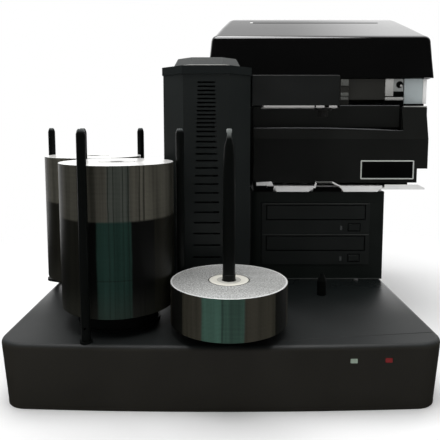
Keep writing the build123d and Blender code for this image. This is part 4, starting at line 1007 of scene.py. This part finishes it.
# The badge place: bare and black inside its bright rim
badge = {"x": 224.5, "z": 150.5, "width": 68.6, "height": 22.2, "y": (badgeDepth + 0.1, badgeDepth + 0.7)}
badgeFace = span(
    x=(badge["x"] - badge["width"] / 2, badge["x"] + badge["width"] / 2),
    y=badge["y"],
    z=(badge["z"] - badge["height"] / 2, badge["z"] + badge["height"] / 2),
)
blockPiece("badgeFace", [badgeFace], "base", deepBlack, edge=0.1)

# Deck: a fine dark line that runs across its front right part
seam = {"ends": [(46.0, 14.0), (216.0, 36.0)], "halfWidth": 0.5, "z": (-0.2, 0.12)}
form = bmesh.new()
seamRings = []
for x, y in seam["ends"]:
    (low, high), half = seam["z"], seam["halfWidth"]
    corners = ((-half, low), (half, low), (half, high), (-half, high))
    seamRings.append([form.verts.new(at(x, y + side, z)) for side, z in corners])
bridgeAndCap(form, seamRings)
addPiece("deckFineLine", meshFrom("deckFineLine", form), "base", finishes["rubber"])
print("badge place and deck finished")

# Cabinet: the rail under its edge, which nearly reaches the floor
cabinet = {
    "half": 221.0,
    "depth": 520.0,
    "bow": 7.0,
    "corner": 28.0,
    "cornerSteps": 8,
    "frontSteps": 24,
    "rail": [(4.8, -65.0), (4.9, -67.3), (5.4, -67.9), (8.0, -67.9), (8.0, -65.0)],  # inset and height
}


def cabinetLoop(form, inset, z):
    half, corner = cabinet["half"] - inset, cabinet["corner"] - inset
    straight = half - corner
    bow = cabinet["bow"] * (straight / cabinet["half"]) ** 2
    back = cabinet["depth"] - inset - corner
    points = []
    for step in range(cabinet["frontSteps"] + 1):
        x = straight * (2 * step / cabinet["frontSteps"] - 1)
        points.append((x, inset + cabinet["bow"] * (x / cabinet["half"]) ** 2))
    corners = (
        (straight, inset + bow + corner, 270), (straight, back, 0),
        (-straight, back, 90), (-straight, inset + bow + corner, 180),
    )
    points += roundCorners(corners, corner, range(1, cabinet["cornerSteps"] + 1))
    return [form.verts.new(at(x, y, z)) for x, y in points[:-1]]


form = bmesh.new()
bridge(form, [cabinetLoop(form, inset, z) for inset, z in cabinet["rail"]])
addPiece("footRail", meshFrom("footRail", form), "base", nodeFinishes["base_shell"])
print("cabinet railed")

# Floor, daylight and lamps
studio = {
    "floorSize": 4.0,
    "floorShade": 0.86,
    "clear": (0.32, 0.75),  # metres from the middle, over which the floor fades into white
    "mirroredFloor": (0.25, 0.6),  # metres back, over which gloss turns from dark to the floor itself
    "ambient": 0.55,
    "frontGloss": 0.022,
    "backGloss": 1.2,
    "ceilingGloss": 0.68,
    "rightGloss": 1.3,
    "behind": (0.25, 0.95),  # how far a direction points back, up and right, where the gloss changes
    "ceiling": (0.42, 0.60),
    "rightSide": (0.10, 0.34),
    "lamps": [  # name, place, aimed at, width, height, watts, seen in gloss
        ("topLamp", (-0.2, -0.1, 1.9), (0.0, 0.0, 0.3), 1.6, 1.2, 29.0, True),
        ("leftStrip", (-1.5, -0.5, 0.8), (-0.1, -0.1, 0.25), 0.25, 1.5, 5.0, False),
        ("rightStrip", (1.6, -0.2, 0.8), (0.0, -0.1, 0.25), 0.3, 1.5, 2.0, False),
        ("backLamp", (1.1, 1.7, 1.6), (0.1, 0.1, 0.4), 2.4, 1.6, 14.0, False),
    ],
}
white = (1, 1, 1, 1)


def floorMaterial():  # a pale ground under the machine, plain white further out, dark in its gloss
    paint = Paint("studioFloor")
    y = paint.axes()[1]
    shade = paint.noise(300.0) * 0.02 + (studio["floorShade"] - 0.01)
    ground = paint.add("ShaderNodeBsdfPrincipled", {}, {
        "Base Color": paint.add("ShaderNodeCombineXYZ", {}, {0: shade, 1: shade, 2: shade}),
        "Roughness": 0.9,
        "Specular IOR Level": 0.0,
    })
    clear = paint.add("ShaderNodeEmission", {}, {"Color": white, "Strength": 1.0})
    dim = paint.add("ShaderNodeEmission", {}, {"Color": white, "Strength": studio["frontGloss"]})
    isCamera = paint.add("ShaderNodeLightPath", {}, {}, "Is Camera Ray")
    far = paint.reach(paint.place).ease(*studio["clear"])
    mixed = paint.add("ShaderNodeMixShader", {}, {0: far * isCamera, 1: ground, 2: clear})
    mirrored = isCamera.output("Is Glossy Ray") * (1.0 - y.ease(*studio["mirroredFloor"]))
    surface = paint.add("ShaderNodeMixShader", {}, {0: mirrored, 1: mixed, 2: dim})
    paint.add("ShaderNodeOutputMaterial", {}, {0: surface})
    return paint.owner


def paintDaylight(world):  # white to the camera and through glass, dark in front of the machine in its gloss
    air = Paint("studioLight", world, "Generated")
    x, y, z = air.axes()
    isCamera = air.add("ShaderNodeLightPath", {}, {}, "Is Camera Ray")
    isDiffuse = isCamera.output("Is Diffuse Ray")
    front, middle, right = studio["frontGloss"], studio["ceilingGloss"], studio["rightGloss"]
    ceiling = middle + x.ease(*studio["rightSide"]) * (right - middle)
    rise = z.ease(*studio["ceiling"])
    backGloss = studio["backGloss"] * (1.0 - rise) + rise * ceiling
    gloss = front + (y + z * 0.6).ease(*studio["behind"]) * (backGloss - front)
    lit = isDiffuse * studio["ambient"] + (1.0 - isDiffuse) * gloss
    shown = isCamera.atLeast(isCamera.output("Is Transmission Ray"))
    strength = shown + (1.0 - shown) * lit
    background = air.add("ShaderNodeBackground", {}, {"Color": white, "Strength": strength})
    air.add("ShaderNodeOutputWorld", {}, {0: background})


bpy.ops.mesh.primitive_plane_add(size=studio["floorSize"], location=(0, 0, 0))
floor = bpy.context.object
floor.name = "studioFloor"
floor.data.materials.append(floorMaterial())

world = bpy.data.worlds.new("studioLight")
bpy.context.scene.world = world
paintDaylight(world)

for name, place, aim, width, height, watts, inGloss in studio["lamps"]:
    light = bpy.data.lights.new(name, "AREA")
    light.shape = "RECTANGLE"
    light.size = width
    light.size_y = height
    light.energy = watts
    lamp = bpy.data.objects.new(name, light)
    lamp.location = place
    lamp.visible_glossy = inGloss
    lamp.rotation_euler = (Vector(aim) - Vector(place)).to_track_quat("-Z", "Y").to_euler()
    bpy.context.scene.collection.objects.link(lamp)

# Camera: where the photograph was taken from
view = {
    "place": (0.0, -469.3, 209.0),
    "tilt": 84.3,  # degrees up from straight down
    "focal": 513,  # in pixels of the photograph, as the next two
    "width": 440,
    "shift": (-1, -42.5),
    "sensor": 36,
    "nearest": 0.02,
}
lens = bpy.data.cameras.new("frontView")
lens.lens = view["focal"] / view["width"] * view["sensor"]
lens.sensor_width = view["sensor"]
lens.sensor_fit = "HORIZONTAL"
lens.shift_x, lens.shift_y = [part / view["width"] for part in view["shift"]]
lens.clip_start = view["nearest"]
camera = bpy.data.objects.new("frontView", lens)
camera.location = at(*view["place"])
camera.rotation_euler = (math.radians(view["tilt"]), 0, 0)
bpy.context.scene.collection.objects.link(camera)
bpy.context.scene.camera = camera
bpy.context.scene.view_settings.view_transform = "Standard"
print("lamps and camera placed")
